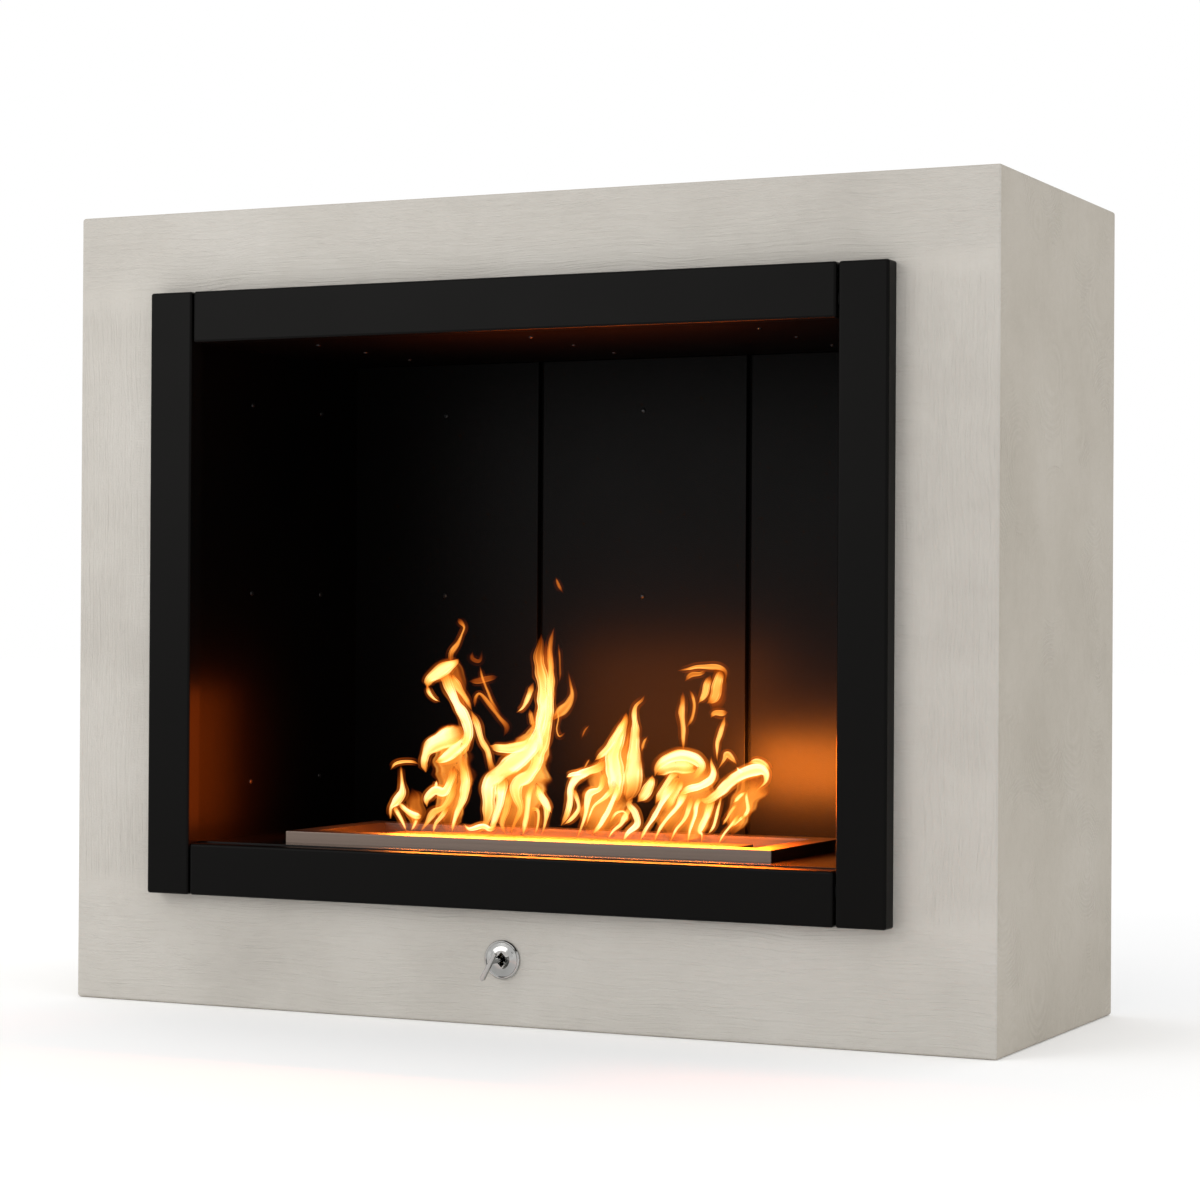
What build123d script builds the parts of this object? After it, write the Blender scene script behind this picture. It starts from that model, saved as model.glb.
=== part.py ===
from build123d import *
import os
from math import cos, pi, radians, sin, tan

os.makedirs("parts", exist_ok=True)

# Outdoor gas fireplace in a cast surround. Millimetres, +X right, +Y back, +Z up.
# The origin is the middle of the underside of the surround.

# Surround
WIDTH = 1500
DEPTH = 550
HEIGHT = 1215
WALL = 25
ARRIS = 5

# Firebox, measured on the inner faces of its liners
FLOOR_STEP = 2
FIRE_SETBACK = 77
LINER = 2
FLOOR_PLATE = 3
BOARD = 25
CASING = 2
BACK_FOLD = 12
BACK_JOINT = 8
BACK_JOINT_X = 183
LINER_BEND = 1.5

# Trim round the fire opening
SIDE_BAND = 150
BOTTOM_BAND = 171
TOP_BAND = 126
STILE_WIDTH = 74
RAIL_HEIGHT = 78
TRIM_DEPTH = 30
TRIM_SHEET = 2
TRIM_BEND = 4
TRIM_GAP = 3
FLANGE_MARGIN = 1
TRIM_LAP = 25
CLIP_SHEET = 1.6
CLIP_HEIGHT = 15
CLIP_DEPTH = 24
CLIP_RISE = 19

# Screws of the liners and of the back panel
SCREW_HEAD = 4
SCREW_HEAD_HEIGHT = 2.2
SCREW_SHANK = 2
SCREW_LENGTH = 31
SCREW_CLEAR = 0.3
SIDE_SCREW_INSETS = [146, 116]
SCREW_ROW_INSET = 84
CEILING_SCREW_INSET = 161
CEILING_SCREW_INSETS = [74, 111]

# Burner tray and linear burner
TRAY_SIDE_GAP = 126
TRAY_FRONT_GAP = 45
TRAY_BACK_GAP = 148
TRAY_RIM_HEIGHT = 17
TRAY_FLANGE = 35
TRAY_SHEET = 2
TRAY_DEPTH = 82
TRAY_EDGE = 1.2
CUTOUT_GAP = 2
DRAIN_RADIUS = 4
DRAIN_INSET = 30
BURNER_END_GAP = 70
BURNER_HALF_DEPTH = 45
BURNER_ABOVE_FLOOR = 10
BURNER_HEIGHT = 45
BURNER_SHEET = 2
PORT_RADIUS = 2.5
PORT_PITCH = 28
PORT_ROWS_APART = 36
PORT_COUNT = 20
BRACKET_INSET = 65
BRACKET_WIDTH = 30
BRACKET_SHEET = 3

# Gas feed under the burner
FEED_X = 60
FEED_DROP = 56
ELBOW_RADIUS = 14
ELBOW_BORE = 11
ELBOW_BEND = 32
ELBOW_TAIL = 16
LOCKNUT_FLATS = 42
LOCKNUT_HEIGHT = 8
MIXER_LENGTH = 150
MIXER_WALL = 3
MIXER_THROAT = 9
AIR_WINDOW = 22
AIR_WINDOW_ARC = 60
SHUTTER_WALL = 1.5
SHUTTER_LENGTH = 32
SHUTTER_SCREW_RADIUS = 3
SHUTTER_SCREW_HEIGHT = 11
ORIFICE_FLATS = 24
ORIFICE_BORE = 1.4
RUN_CLEAR = 0.3
THREAD_SEAT = 0.3

# Key valve in the lower band
VALVE_X = -3
VALVE_Z = 97
VALVE_SETBACK = 45
ESCUTCHEON_RADIUS = 28.5
ESCUTCHEON_THICK = 5
KEYWAY = 16
SLEEVE_RADIUS = 15
SLEEVE_BORE = 12.8
SLEEVE_CLEAR = 0.3
SLEEVE_NUT_FLATS = 44
SLEEVE_NUT_HEIGHT = 8
VALVE_BODY_RADIUS = 19
VALVE_BODY_BACK = 19
VALVE_BODY_FRONT = 17
PLUG_RADIUS = 8
PLUG_CLEAR = 0.06
GAS_BORE = 4.5
PORT_REACH = 50
PORT_FLATS = 27
PORT_HEX = 40
PORT_SPIGOT = 8
STEM_RADIUS = 5
STEM_SHOULDER_IN = 27
STEM_SQUARE = 8
STEM_TIP_IN = 9
KEY_SQUARE = 8.4
KEY_BARREL = 6.8
KEY_SHAFT = 3.6
KEY_STAND = 37
KEY_THICK = 6
KEY_LONG = 31.5
KEY_SHORT = 14.7
KEY_WIDE = 3.5
KEY_NARROW = 2.6
KEY_TURN = 29

# Supply line inside the service compartment
SUPPLY_SIDE_GAP = 205
INLET_BORE = 9.32
INLET_THREAD = 16
INLET_RADIUS = 13.2
INLET_STAND = 13
INLET_FLATS = 34
INLET_HEX = 6
SUPPLY_BORE = 6.5
BALL_RADIUS = 11
BALL_VALVE_LENGTH = 74
BALL_VALVE_RADIUS = 18
BALL_VALVE_FLATS = 27
BALL_STEM_RADIUS = 4
BALL_NECK_RADIUS = 8
LEVER_RISE = 37
LEVER_LENGTH = 85
LEVER_WIDTH = 14
LEVER_THICK = 3
REGULATOR_RADIUS = 32
REGULATOR_HEIGHT = 34
REGULATOR_LENGTH = 80
REGULATOR_CAP = 15
REGULATOR_CAP_HEIGHT = 9
STAND_WIDTH = 30
HOSE_RADIUS = 6
HOSE_BORE = 4
HOSE_NUT_FLATS = 19
HOSE_NUT_LENGTH = 16
HOSE_CLIP_WIDTH = 12
HOSE_CLIP_WALL = 3
SUPPLY_CLIP_X = 105
BURNER_CLIP_X = -190
BURNER_RUN = 180
SUPPLY_RUNS = [76, 132, 183]
SUPPLY_TURN = 22.5

# Steel chassis
TUBE = 30
TUBE_WALL = 2
SUPPORT_GAP = 35
CLEAT = 40
CLEAT_SHEET = 4
CLEAT_INSET = 325

# Back panel and service door
PANEL = 2
PANEL_GAP = 0.5
DOOR_LEFT = -40
DOOR_RIGHT = 440
DOOR_BOTTOM = 62
DOOR_TOP = 184
DOOR_LAP = 12
DOOR_SHEET = 2
DOOR_LIP = 12
DOOR_SEAT = 0.3
HINGE_RADIUS = 5
HINGE_PIN = 2.4
HINGE_CLEAR = 0.08
HINGE_HEIGHT = 36
HINGE_LEAF = 22
HINGE_LEAF_SHEET = 2
HINGE_INSET = 16
MAGNET_WIDTH = 40
MAGNET_HEIGHT = 14
MAGNET_DEPTH = 12
VENT_LENGTH = 90
VENT_HEIGHT = 8
VENT_PITCH_X = 120
VENT_PITCH_Z = 18
VENT_ROW_COUNT = 4
VENT_RISE = 60
FIXING_INSET = 125
FIXING_BORE = 4.25
FIXING_RADIUS = 6
FIXING_FLANGE = 9
FIXING_LENGTH = 18

# Places that follow from the sizes above
FRONT = -DEPTH / 2
REAR = DEPTH / 2
TRIM_HALF_WIDTH = WIDTH / 2 - SIDE_BAND
TRIM_BOTTOM = BOTTOM_BAND
TRIM_TOP = HEIGHT - TOP_BAND
FIRE_HALF_WIDTH = TRIM_HALF_WIDTH - STILE_WIDTH
FIRE_TOP = TRIM_TOP - RAIL_HEIGHT
FIRE_FLOOR = TRIM_BOTTOM + RAIL_HEIGHT + FLOOR_STEP
FIRE_BACK = REAR - FIRE_SETBACK
INNER_HALF_WIDTH = WIDTH / 2 - WALL
INNER_FRONT = FRONT + WALL
INNER_TOP = HEIGHT - WALL
FLANGE_FRONT = FRONT - CASING
TRIM_FRONT = FLANGE_FRONT - TRIM_DEPTH
RAIL_HALF_WIDTH = FIRE_HALF_WIDTH - TRIM_GAP
LINER_BACK = FIRE_BACK + BACK_FOLD
STRAP_BACK = LINER_BACK + LINER
BOARD_BACK = STRAP_BACK + BOARD
SIDE_OUTER = FIRE_HALF_WIDTH + LINER
BOARD_SIDE = SIDE_OUTER + BOARD
BOARD_TOP = FIRE_TOP + LINER + BOARD
BOARD_FLOOR = FIRE_FLOOR - FLOOR_PLATE - BOARD
FIRE_MIDDLE = (FIRE_FLOOR + FIRE_TOP) / 2
SIDE_SCREW_YS = [FRONT + SIDE_SCREW_INSETS[0], FIRE_BACK - SIDE_SCREW_INSETS[1]]
CEILING_SCREW_X = FIRE_HALF_WIDTH - CEILING_SCREW_INSET
CEILING_SCREW_FRONT = FRONT + CEILING_SCREW_INSETS[0]
CEILING_SCREW_BACK = FIRE_BACK - CEILING_SCREW_INSETS[1]
CEILING_SCREW_YS = [CEILING_SCREW_FRONT, (CEILING_SCREW_FRONT + CEILING_SCREW_BACK) / 2, CEILING_SCREW_BACK]
TRAY_HALF_WIDTH = FIRE_HALF_WIDTH - TRAY_SIDE_GAP
TRAY_FRONT = FRONT + TRAY_FRONT_GAP
TRAY_BACK = FIRE_BACK - TRAY_BACK_GAP
TRAY_RIM_TOP = FIRE_FLOOR + TRAY_RIM_HEIGHT
PAN_HALF_WIDTH = TRAY_HALF_WIDTH - TRAY_FLANGE
PAN_FRONT = TRAY_FRONT + TRAY_FLANGE
PAN_BACK = TRAY_BACK - TRAY_FLANGE
PAN_BOTTOM = TRAY_RIM_TOP - TRAY_DEPTH
BURNER_Y = (TRAY_FRONT + TRAY_BACK) / 2
BURNER_HALF_WIDTH = PAN_HALF_WIDTH - BURNER_END_GAP
BURNER_TOP = FIRE_FLOOR + BURNER_ABOVE_FLOOR
BURNER_BOTTOM = BURNER_TOP - BURNER_HEIGHT
BRACKET_X = BURNER_HALF_WIDTH - BRACKET_INSET
FEED_Z = PAN_BOTTOM - FEED_DROP
VALVE_Y = INNER_FRONT + VALVE_SETBACK
STEM_SHOULDER = FRONT + STEM_SHOULDER_IN
STEM_TIP = FRONT + STEM_TIP_IN
KEY_PLANE = FRONT - KEY_STAND
SUPPLY_X = INNER_HALF_WIDTH - SUPPLY_SIDE_GAP
LEVER_Z = VALVE_Z + LEVER_RISE
SUPPORT_TOP = BOARD_FLOOR - CASING
RAIL_MIDDLE = SUPPORT_TOP - TUBE
SUPPORT_X = PAN_HALF_WIDTH + SUPPORT_GAP + TUBE / 2
CLEAT_X = INNER_HALF_WIDTH - CLEAT_INSET
FIXING_X = INNER_HALF_WIDTH - FIXING_INSET
RAIL_TOP = INNER_TOP - TUBE
PANEL_FRONT = REAR - TUBE
PANEL_BACK = PANEL_FRONT + PANEL
POST_OUT = INNER_HALF_WIDTH
POST_IN = INNER_HALF_WIDTH - TUBE
RAIL_FRONT = INNER_FRONT
RAIL_BACK = PANEL_FRONT - TUBE
ROWS = [FIRE_FLOOR + SCREW_ROW_INSET, FIRE_MIDDLE, FIRE_TOP - SCREW_ROW_INSET]

ALONG = {"x": (1, 0, 0), "y": (0, 1, 0), "z": (0, 0, 1)}
ACROSS = {"x": (0, 1, 0), "y": (1, 0, 0), "z": (0, 1, 0)}
TURN = {"x": (0, 90, 0), "y": (90, 0, 0), "z": (0, 0, 0)}


def slab(low, high, mode=Mode.ADD):
    """Box between two corners, in the part that is being built."""
    centre = tuple((a + b) / 2 for a, b in zip(low, high))
    size = [b - a for a, b in zip(low, high)]
    with Locations(centre):
        Box(*size, mode=mode)


def rod(centre, radius, length, axis, mode=Mode.ADD):
    """Cylinder about a point, lying along x, y or z."""
    with Locations(Location(centre, TURN[axis])):
        Cylinder(radius, length, mode=mode)


def turned(outline, origin, axis, mode=Mode.ADD):
    """Body turned from (distance along the axis, radius) points."""
    plane = Plane(origin=origin, x_dir=ALONG[axis], z_dir=ACROSS[axis])
    sign = 1 if axis == "y" else -1
    with BuildSketch(plane) as profile:
        with BuildLine():
            Polyline(*[(u, sign * r) for u, r in outline], close=True)
        make_face()
    revolve(profile.sketch, axis=Axis(origin, ALONG[axis]), mode=mode)


def hexagon(start, axis, flats, length, mode=Mode.ADD):
    """Hexagonal bar from a point along x, y or z."""
    with BuildSketch(Plane(origin=start, x_dir=ACROSS[axis], z_dir=ALONG[axis])) as profile:
        RegularPolygon(flats / 2, 6, major_radius=False)
    extrude(profile.sketch, amount=length, mode=mode)


def save(piece, label):
    """Name a finished piece and write it."""
    piece.part.label = label
    export_step(piece.part, f"parts/{label}.step")


def bend_radii(points):
    """As large a bend at each corner of a route as its two runs allow."""
    radii = []
    for before, corner, after in zip(points, points[1:], points[2:]):
        run_in = Vector(*corner) - Vector(*before)
        run_out = Vector(*after) - Vector(*corner)
        half_turn = radians(run_in.get_angle(run_out)) / 2
        radii.append(0.45 * min(run_in.length, run_out.length) / tan(half_turn))
    return radii


# Cast surround: five walls with softened arrises, open at the back
with BuildPart() as surround_shell:
    slab((-WIDTH / 2, FRONT, 0), (WIDTH / 2, REAR, HEIGHT))
    fillet(surround_shell.edges(), ARRIS)
    slab((-INNER_HALF_WIDTH, INNER_FRONT, WALL), (INNER_HALF_WIDTH, REAR, INNER_TOP), Mode.SUBTRACT)
    slab(
        (-TRIM_HALF_WIDTH + TRIM_LAP, FRONT, TRIM_BOTTOM + TRIM_LAP),
        (TRIM_HALF_WIDTH - TRIM_LAP, INNER_FRONT, TRIM_TOP - TRIM_LAP),
        Mode.SUBTRACT,
    )
    rod((VALVE_X, FRONT + WALL / 2, VALVE_Z), SLEEVE_RADIUS + SLEEVE_CLEAR, WALL, "y", Mode.SUBTRACT)
save(surround_shell, "surround_shell")


def folded_pan(low, high, sheet, bend):
    """Sheet tray with rounded bends, its face towards -Y and its back open."""
    with BuildPart() as pan:
        slab(low, high)
        face_edges = pan.faces().sort_by(Axis.Y)[0].edges()
        fillet(face_edges + pan.edges().filter_by(Axis.Y), bend)
        offset(amount=-sheet, openings=pan.faces().sort_by(Axis.Y)[-1])
    return pan


# Trim: two full-height stiles with two rails between them
TRIM_PANS = {
    "trim_stile_left": (-TRIM_HALF_WIDTH, -FIRE_HALF_WIDTH, TRIM_BOTTOM, TRIM_TOP),
    "trim_stile_right": (FIRE_HALF_WIDTH, TRIM_HALF_WIDTH, TRIM_BOTTOM, TRIM_TOP),
    "trim_rail_top": (-RAIL_HALF_WIDTH, RAIL_HALF_WIDTH, TRIM_TOP - RAIL_HEIGHT, TRIM_TOP),
    "trim_rail_bottom": (-RAIL_HALF_WIDTH, RAIL_HALF_WIDTH, TRIM_BOTTOM, TRIM_BOTTOM + RAIL_HEIGHT),
}
for label, (x0, x1, z0, z1) in TRIM_PANS.items():
    save(folded_pan((x0, TRIM_FRONT, z0), (x1, FLANGE_FRONT, z1), TRIM_SHEET, TRIM_BEND), label)

# Spring clips on the casing flange, in the gaps at the four corners of the trim
with BuildPart() as trim_corner_clips:
    for side in (-1, 1):
        for z in (TRIM_BOTTOM + RAIL_HEIGHT - CLIP_RISE - CLIP_HEIGHT, TRIM_TOP - RAIL_HEIGHT + CLIP_RISE):
            x = side * (RAIL_HALF_WIDTH + TRIM_GAP / 2)
            slab(
                (x - CLIP_SHEET / 2, FLANGE_FRONT - CLIP_DEPTH, z),
                (x + CLIP_SHEET / 2, FLANGE_FRONT, z + CLIP_HEIGHT),
            )
save(trim_corner_clips, "trim_corner_clips")

# Places of the liner screws
SIDE_SCREWS = [(y, z) for y in SIDE_SCREW_YS for z in ROWS]
BACK_PANELS = {
    "liner_back_left": (-SIDE_OUTER, -BACK_JOINT_X - BACK_JOINT / 2),
    "liner_back_centre": (-BACK_JOINT_X + BACK_JOINT / 2, BACK_JOINT_X - BACK_JOINT / 2),
    "liner_back_right": (BACK_JOINT_X + BACK_JOINT / 2, SIDE_OUTER),
}
BACK_SCREWS = [((x0 + x1) / 2, z) for x0, x1 in BACK_PANELS.values() for z in ROWS]
CEILING_SCREWS = [(i * CEILING_SCREW_X, y) for i in (-1, 0, 1) for y in CEILING_SCREW_YS]
HOLE = SCREW_SHANK + SCREW_CLEAR


def drill_firebox():
    """Clearance holes of every liner screw, through whatever part is being built."""
    reach = 4 * SCREW_LENGTH
    for side in (-1, 1):
        for y, z in SIDE_SCREWS:
            rod((side * FIRE_HALF_WIDTH, y, z), HOLE, reach, "x", Mode.SUBTRACT)
    for x, z in BACK_SCREWS:
        rod((x, FIRE_BACK, z), HOLE, reach, "y", Mode.SUBTRACT)
    for x, y in CEILING_SCREWS:
        rod((x, y, FIRE_TOP), HOLE, reach, "z", Mode.SUBTRACT)


def cut_for_pan(clearance, top):
    """Opening for the sunk pan of the burner tray."""
    slab(
        (-PAN_HALF_WIDTH - clearance, PAN_FRONT - clearance, PAN_BOTTOM),
        (PAN_HALF_WIDTH + clearance, PAN_BACK + clearance, top),
        Mode.SUBTRACT,
    )


# Firebox casing: welded sheet box with a front flange that lies on the surround
with BuildPart() as firebox_casing:
    slab(
        (-BOARD_SIDE - CASING, FLANGE_FRONT, BOARD_FLOOR - CASING),
        (BOARD_SIDE + CASING, BOARD_BACK + CASING, BOARD_TOP + CASING),
    )
    slab(
        (-TRIM_HALF_WIDTH + FLANGE_MARGIN, FLANGE_FRONT, TRIM_BOTTOM + FLANGE_MARGIN),
        (TRIM_HALF_WIDTH - FLANGE_MARGIN, FRONT, TRIM_TOP - FLANGE_MARGIN),
    )
    slab((-BOARD_SIDE, FRONT, BOARD_FLOOR), (BOARD_SIDE, BOARD_BACK, BOARD_TOP), Mode.SUBTRACT)
    slab(
        (-SIDE_OUTER, FLANGE_FRONT, FIRE_FLOOR - FLOOR_PLATE),
        (SIDE_OUTER, FRONT, FIRE_TOP + LINER),
        Mode.SUBTRACT,
    )
    cut_for_pan(2 * CUTOUT_GAP, FIRE_FLOOR)
    drill_firebox()
save(firebox_casing, "firebox_casing")

# Insulation boards between the casing and the liners
BOARDS = {
    "insulation_left": ((-BOARD_SIDE, FRONT, BOARD_FLOOR), (-SIDE_OUTER, BOARD_BACK, BOARD_TOP)),
    "insulation_right": ((SIDE_OUTER, FRONT, BOARD_FLOOR), (BOARD_SIDE, BOARD_BACK, BOARD_TOP)),
    "insulation_back": ((-SIDE_OUTER, STRAP_BACK, BOARD_FLOOR), (SIDE_OUTER, BOARD_BACK, BOARD_TOP)),
    "insulation_top": ((-SIDE_OUTER, FRONT, FIRE_TOP + LINER), (SIDE_OUTER, STRAP_BACK, BOARD_TOP)),
    "insulation_floor": (
        (-SIDE_OUTER, FRONT, BOARD_FLOOR),
        (SIDE_OUTER, STRAP_BACK, FIRE_FLOOR - FLOOR_PLATE),
    ),
}
for label, (low, high) in BOARDS.items():
    with BuildPart() as board:
        slab(low, high)
        drill_firebox()
        if label == "insulation_floor":
            cut_for_pan(2 * CUTOUT_GAP, FIRE_FLOOR)
    save(board, label)

# Plain liner plates: two sides, the ceiling and the floor that carries the burner tray
PLATES = {
    "liner_left": (
        (-SIDE_OUTER, FLANGE_FRONT, FIRE_FLOOR),
        (-FIRE_HALF_WIDTH, FIRE_BACK, FIRE_TOP),
    ),
    "liner_right": ((FIRE_HALF_WIDTH, FLANGE_FRONT, FIRE_FLOOR), (SIDE_OUTER, FIRE_BACK, FIRE_TOP)),
    "liner_ceiling": ((-SIDE_OUTER, FLANGE_FRONT, FIRE_TOP), (SIDE_OUTER, STRAP_BACK, FIRE_TOP + LINER)),
    "liner_floor": (
        (-SIDE_OUTER, FLANGE_FRONT, FIRE_FLOOR - FLOOR_PLATE),
        (SIDE_OUTER, STRAP_BACK, FIRE_FLOOR),
    ),
}
for label, (low, high) in PLATES.items():
    with BuildPart() as plate:
        slab(low, high)
        drill_firebox()
        if label == "liner_floor":
            cut_for_pan(CUTOUT_GAP, FIRE_FLOOR)
    save(plate, label)

# Back liner: three folded pans with deep dark joints between them
for label, (x0, x1) in BACK_PANELS.items():
    back_pan = folded_pan((x0, FIRE_BACK, FIRE_FLOOR), (x1, LINER_BACK, FIRE_TOP), LINER, LINER_BEND)
    with BuildPart() as back_liner:
        add(back_pan.part)
        drill_firebox()
    save(back_liner, label)

# Flat backing sheet behind the back pans, seen as the bottom of the two joints
with BuildPart() as liner_backing:
    slab((-SIDE_OUTER, LINER_BACK, FIRE_FLOOR), (SIDE_OUTER, STRAP_BACK, FIRE_TOP))
    drill_firebox()
save(liner_backing, "liner_backing")


def pan_head(point, axis, outward):
    """Domed screw head seated on a face at the point."""
    turned(
        [
            (0, 0),
            (0, SCREW_HEAD),
            (outward * SCREW_HEAD_HEIGHT * 0.6, SCREW_HEAD * 0.85),
            (outward * SCREW_HEAD_HEIGHT, SCREW_HEAD * 0.45),
            (outward * SCREW_HEAD_HEIGHT, 0),
        ],
        point,
        axis,
    )


def screw(point, axis, outward, length):
    """Screw with its head seated at the point and its shank running inward."""
    pan_head(point, axis, outward)
    centre = tuple(p - outward * length / 2 * a for p, a in zip(point, ALONG[axis]))
    rod(centre, SCREW_SHANK, length, axis)


with BuildPart() as liner_screws:
    for side in (-1, 1):
        for y, z in SIDE_SCREWS:
            screw((side * FIRE_HALF_WIDTH, y, z), "x", -side, SCREW_LENGTH)
    for x, z in BACK_SCREWS:
        screw((x, FIRE_BACK, z), "y", -1, SCREW_LENGTH + BACK_FOLD)
    for x, y in CEILING_SCREWS:
        screw((x, y, FIRE_TOP), "z", -1, SCREW_LENGTH)
save(liner_screws, "liner_screws")

# Burner tray: flat rim with a turned-down edge that stands on the floor, and a sunk pan
with BuildPart() as burner_tray:
    slab((-TRAY_HALF_WIDTH, TRAY_FRONT, FIRE_FLOOR), (TRAY_HALF_WIDTH, TRAY_BACK, TRAY_RIM_TOP))
    rim_edges = burner_tray.faces().sort_by(Axis.Z)[-1].edges()
    fillet(rim_edges + burner_tray.edges().filter_by(Axis.Z), TRAY_EDGE)
    slab(
        (-TRAY_HALF_WIDTH + TRAY_SHEET, TRAY_FRONT + TRAY_SHEET, FIRE_FLOOR),
        (TRAY_HALF_WIDTH - TRAY_SHEET, TRAY_BACK - TRAY_SHEET, TRAY_RIM_TOP - TRAY_SHEET),
        Mode.SUBTRACT,
    )
    slab((-PAN_HALF_WIDTH, PAN_FRONT, PAN_BOTTOM), (PAN_HALF_WIDTH, PAN_BACK, TRAY_RIM_TOP))
    slab(
        (-PAN_HALF_WIDTH + TRAY_SHEET, PAN_FRONT + TRAY_SHEET, PAN_BOTTOM + TRAY_SHEET),
        (PAN_HALF_WIDTH - TRAY_SHEET, PAN_BACK - TRAY_SHEET, TRAY_RIM_TOP),
        Mode.SUBTRACT,
    )
    rod((FEED_X, BURNER_Y, PAN_BOTTOM), ELBOW_RADIUS + RUN_CLEAR, 4 * TRAY_SHEET, "z", Mode.SUBTRACT)
    with Locations((0, BURNER_Y, PAN_BOTTOM)):
        with GridLocations(
            2 * (PAN_HALF_WIDTH - DRAIN_INSET), PAN_BACK - PAN_FRONT - 2 * DRAIN_INSET, 2, 2
        ):
            Cylinder(DRAIN_RADIUS, 4 * TRAY_SHEET, mode=Mode.SUBTRACT)
save(burner_tray, "burner_tray")

# Linear burner: a plenum trough with a ported lid, on two brackets in the pan
with BuildPart() as burner_plenum:
    lid_seat = BURNER_TOP - BURNER_SHEET
    slab(
        (-BURNER_HALF_WIDTH, BURNER_Y - BURNER_HALF_DEPTH, BURNER_BOTTOM),
        (BURNER_HALF_WIDTH, BURNER_Y + BURNER_HALF_DEPTH, lid_seat),
    )
    slab(
        (-BURNER_HALF_WIDTH + BURNER_SHEET, BURNER_Y - BURNER_HALF_DEPTH + BURNER_SHEET, BURNER_BOTTOM + BURNER_SHEET),
        (BURNER_HALF_WIDTH - BURNER_SHEET, BURNER_Y + BURNER_HALF_DEPTH - BURNER_SHEET, lid_seat),
        Mode.SUBTRACT,
    )
    rod((FEED_X, BURNER_Y, BURNER_BOTTOM), ELBOW_RADIUS + RUN_CLEAR, 4 * BURNER_SHEET, "z", Mode.SUBTRACT)
save(burner_plenum, "burner_plenum")

with BuildPart() as burner_lid:
    slab(
        (-BURNER_HALF_WIDTH, BURNER_Y - BURNER_HALF_DEPTH, lid_seat),
        (BURNER_HALF_WIDTH, BURNER_Y + BURNER_HALF_DEPTH, BURNER_TOP),
    )
    fillet(burner_lid.faces().sort_by(Axis.Z)[-1].edges(), TRAY_EDGE)
    with Locations((0, BURNER_Y, BURNER_TOP)):
        with GridLocations(PORT_PITCH, PORT_ROWS_APART, PORT_COUNT, 2):
            Cylinder(PORT_RADIUS, 4 * BURNER_SHEET, mode=Mode.SUBTRACT)
save(burner_lid, "burner_lid")

# Bridge brackets that hold the plenum above the pan
with BuildPart() as burner_brackets:
    pan_floor = PAN_BOTTOM + TRAY_SHEET
    for side in (-1, 1):
        x0 = side * BRACKET_X - BRACKET_WIDTH / 2
        x1 = side * BRACKET_X + BRACKET_WIDTH / 2
        slab((x0, BURNER_Y - BURNER_HALF_DEPTH, pan_floor), (x1, BURNER_Y + BURNER_HALF_DEPTH, BURNER_BOTTOM))
        slab(
            (x0, BURNER_Y - BURNER_HALF_DEPTH + BRACKET_SHEET, pan_floor),
            (x1, BURNER_Y + BURNER_HALF_DEPTH - BRACKET_SHEET, BURNER_BOTTOM - BRACKET_SHEET),
            Mode.SUBTRACT,
        )
save(burner_brackets, "burner_brackets")

# Elbow from the mixer up through the pan into the plenum
ELBOW_START = (FEED_X, BURNER_Y, BURNER_BOTTOM + 2 * BURNER_SHEET)
ELBOW_CORNER = (FEED_X, BURNER_Y, FEED_Z)
ELBOW_END = (FEED_X - ELBOW_BEND - ELBOW_TAIL, BURNER_Y, FEED_Z)
with BuildPart() as burner_elbow:
    with BuildLine() as elbow_route:
        FilletPolyline(ELBOW_START, ELBOW_CORNER, ELBOW_END, radius=ELBOW_BEND)
    with BuildSketch(Plane(origin=ELBOW_START, z_dir=(0, 0, -1))):
        Circle(ELBOW_RADIUS)
    sweep(path=elbow_route.line)
    with BuildSketch(Plane(origin=ELBOW_START, z_dir=(0, 0, -1))):
        Circle(ELBOW_BORE)
    sweep(path=elbow_route.line, mode=Mode.SUBTRACT)
save(burner_elbow, "burner_elbow")

# Locknut under the pan
with BuildPart() as feed_locknut:
    nut_bottom = PAN_BOTTOM - LOCKNUT_HEIGHT
    hexagon((FEED_X, BURNER_Y, nut_bottom), "z", LOCKNUT_FLATS, LOCKNUT_HEIGHT)
    rod(
        (FEED_X, BURNER_Y, nut_bottom + LOCKNUT_HEIGHT / 2),
        ELBOW_RADIUS + THREAD_SEAT,
        LOCKNUT_HEIGHT,
        "z",
        Mode.SUBTRACT,
    )
save(feed_locknut, "feed_locknut")

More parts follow.
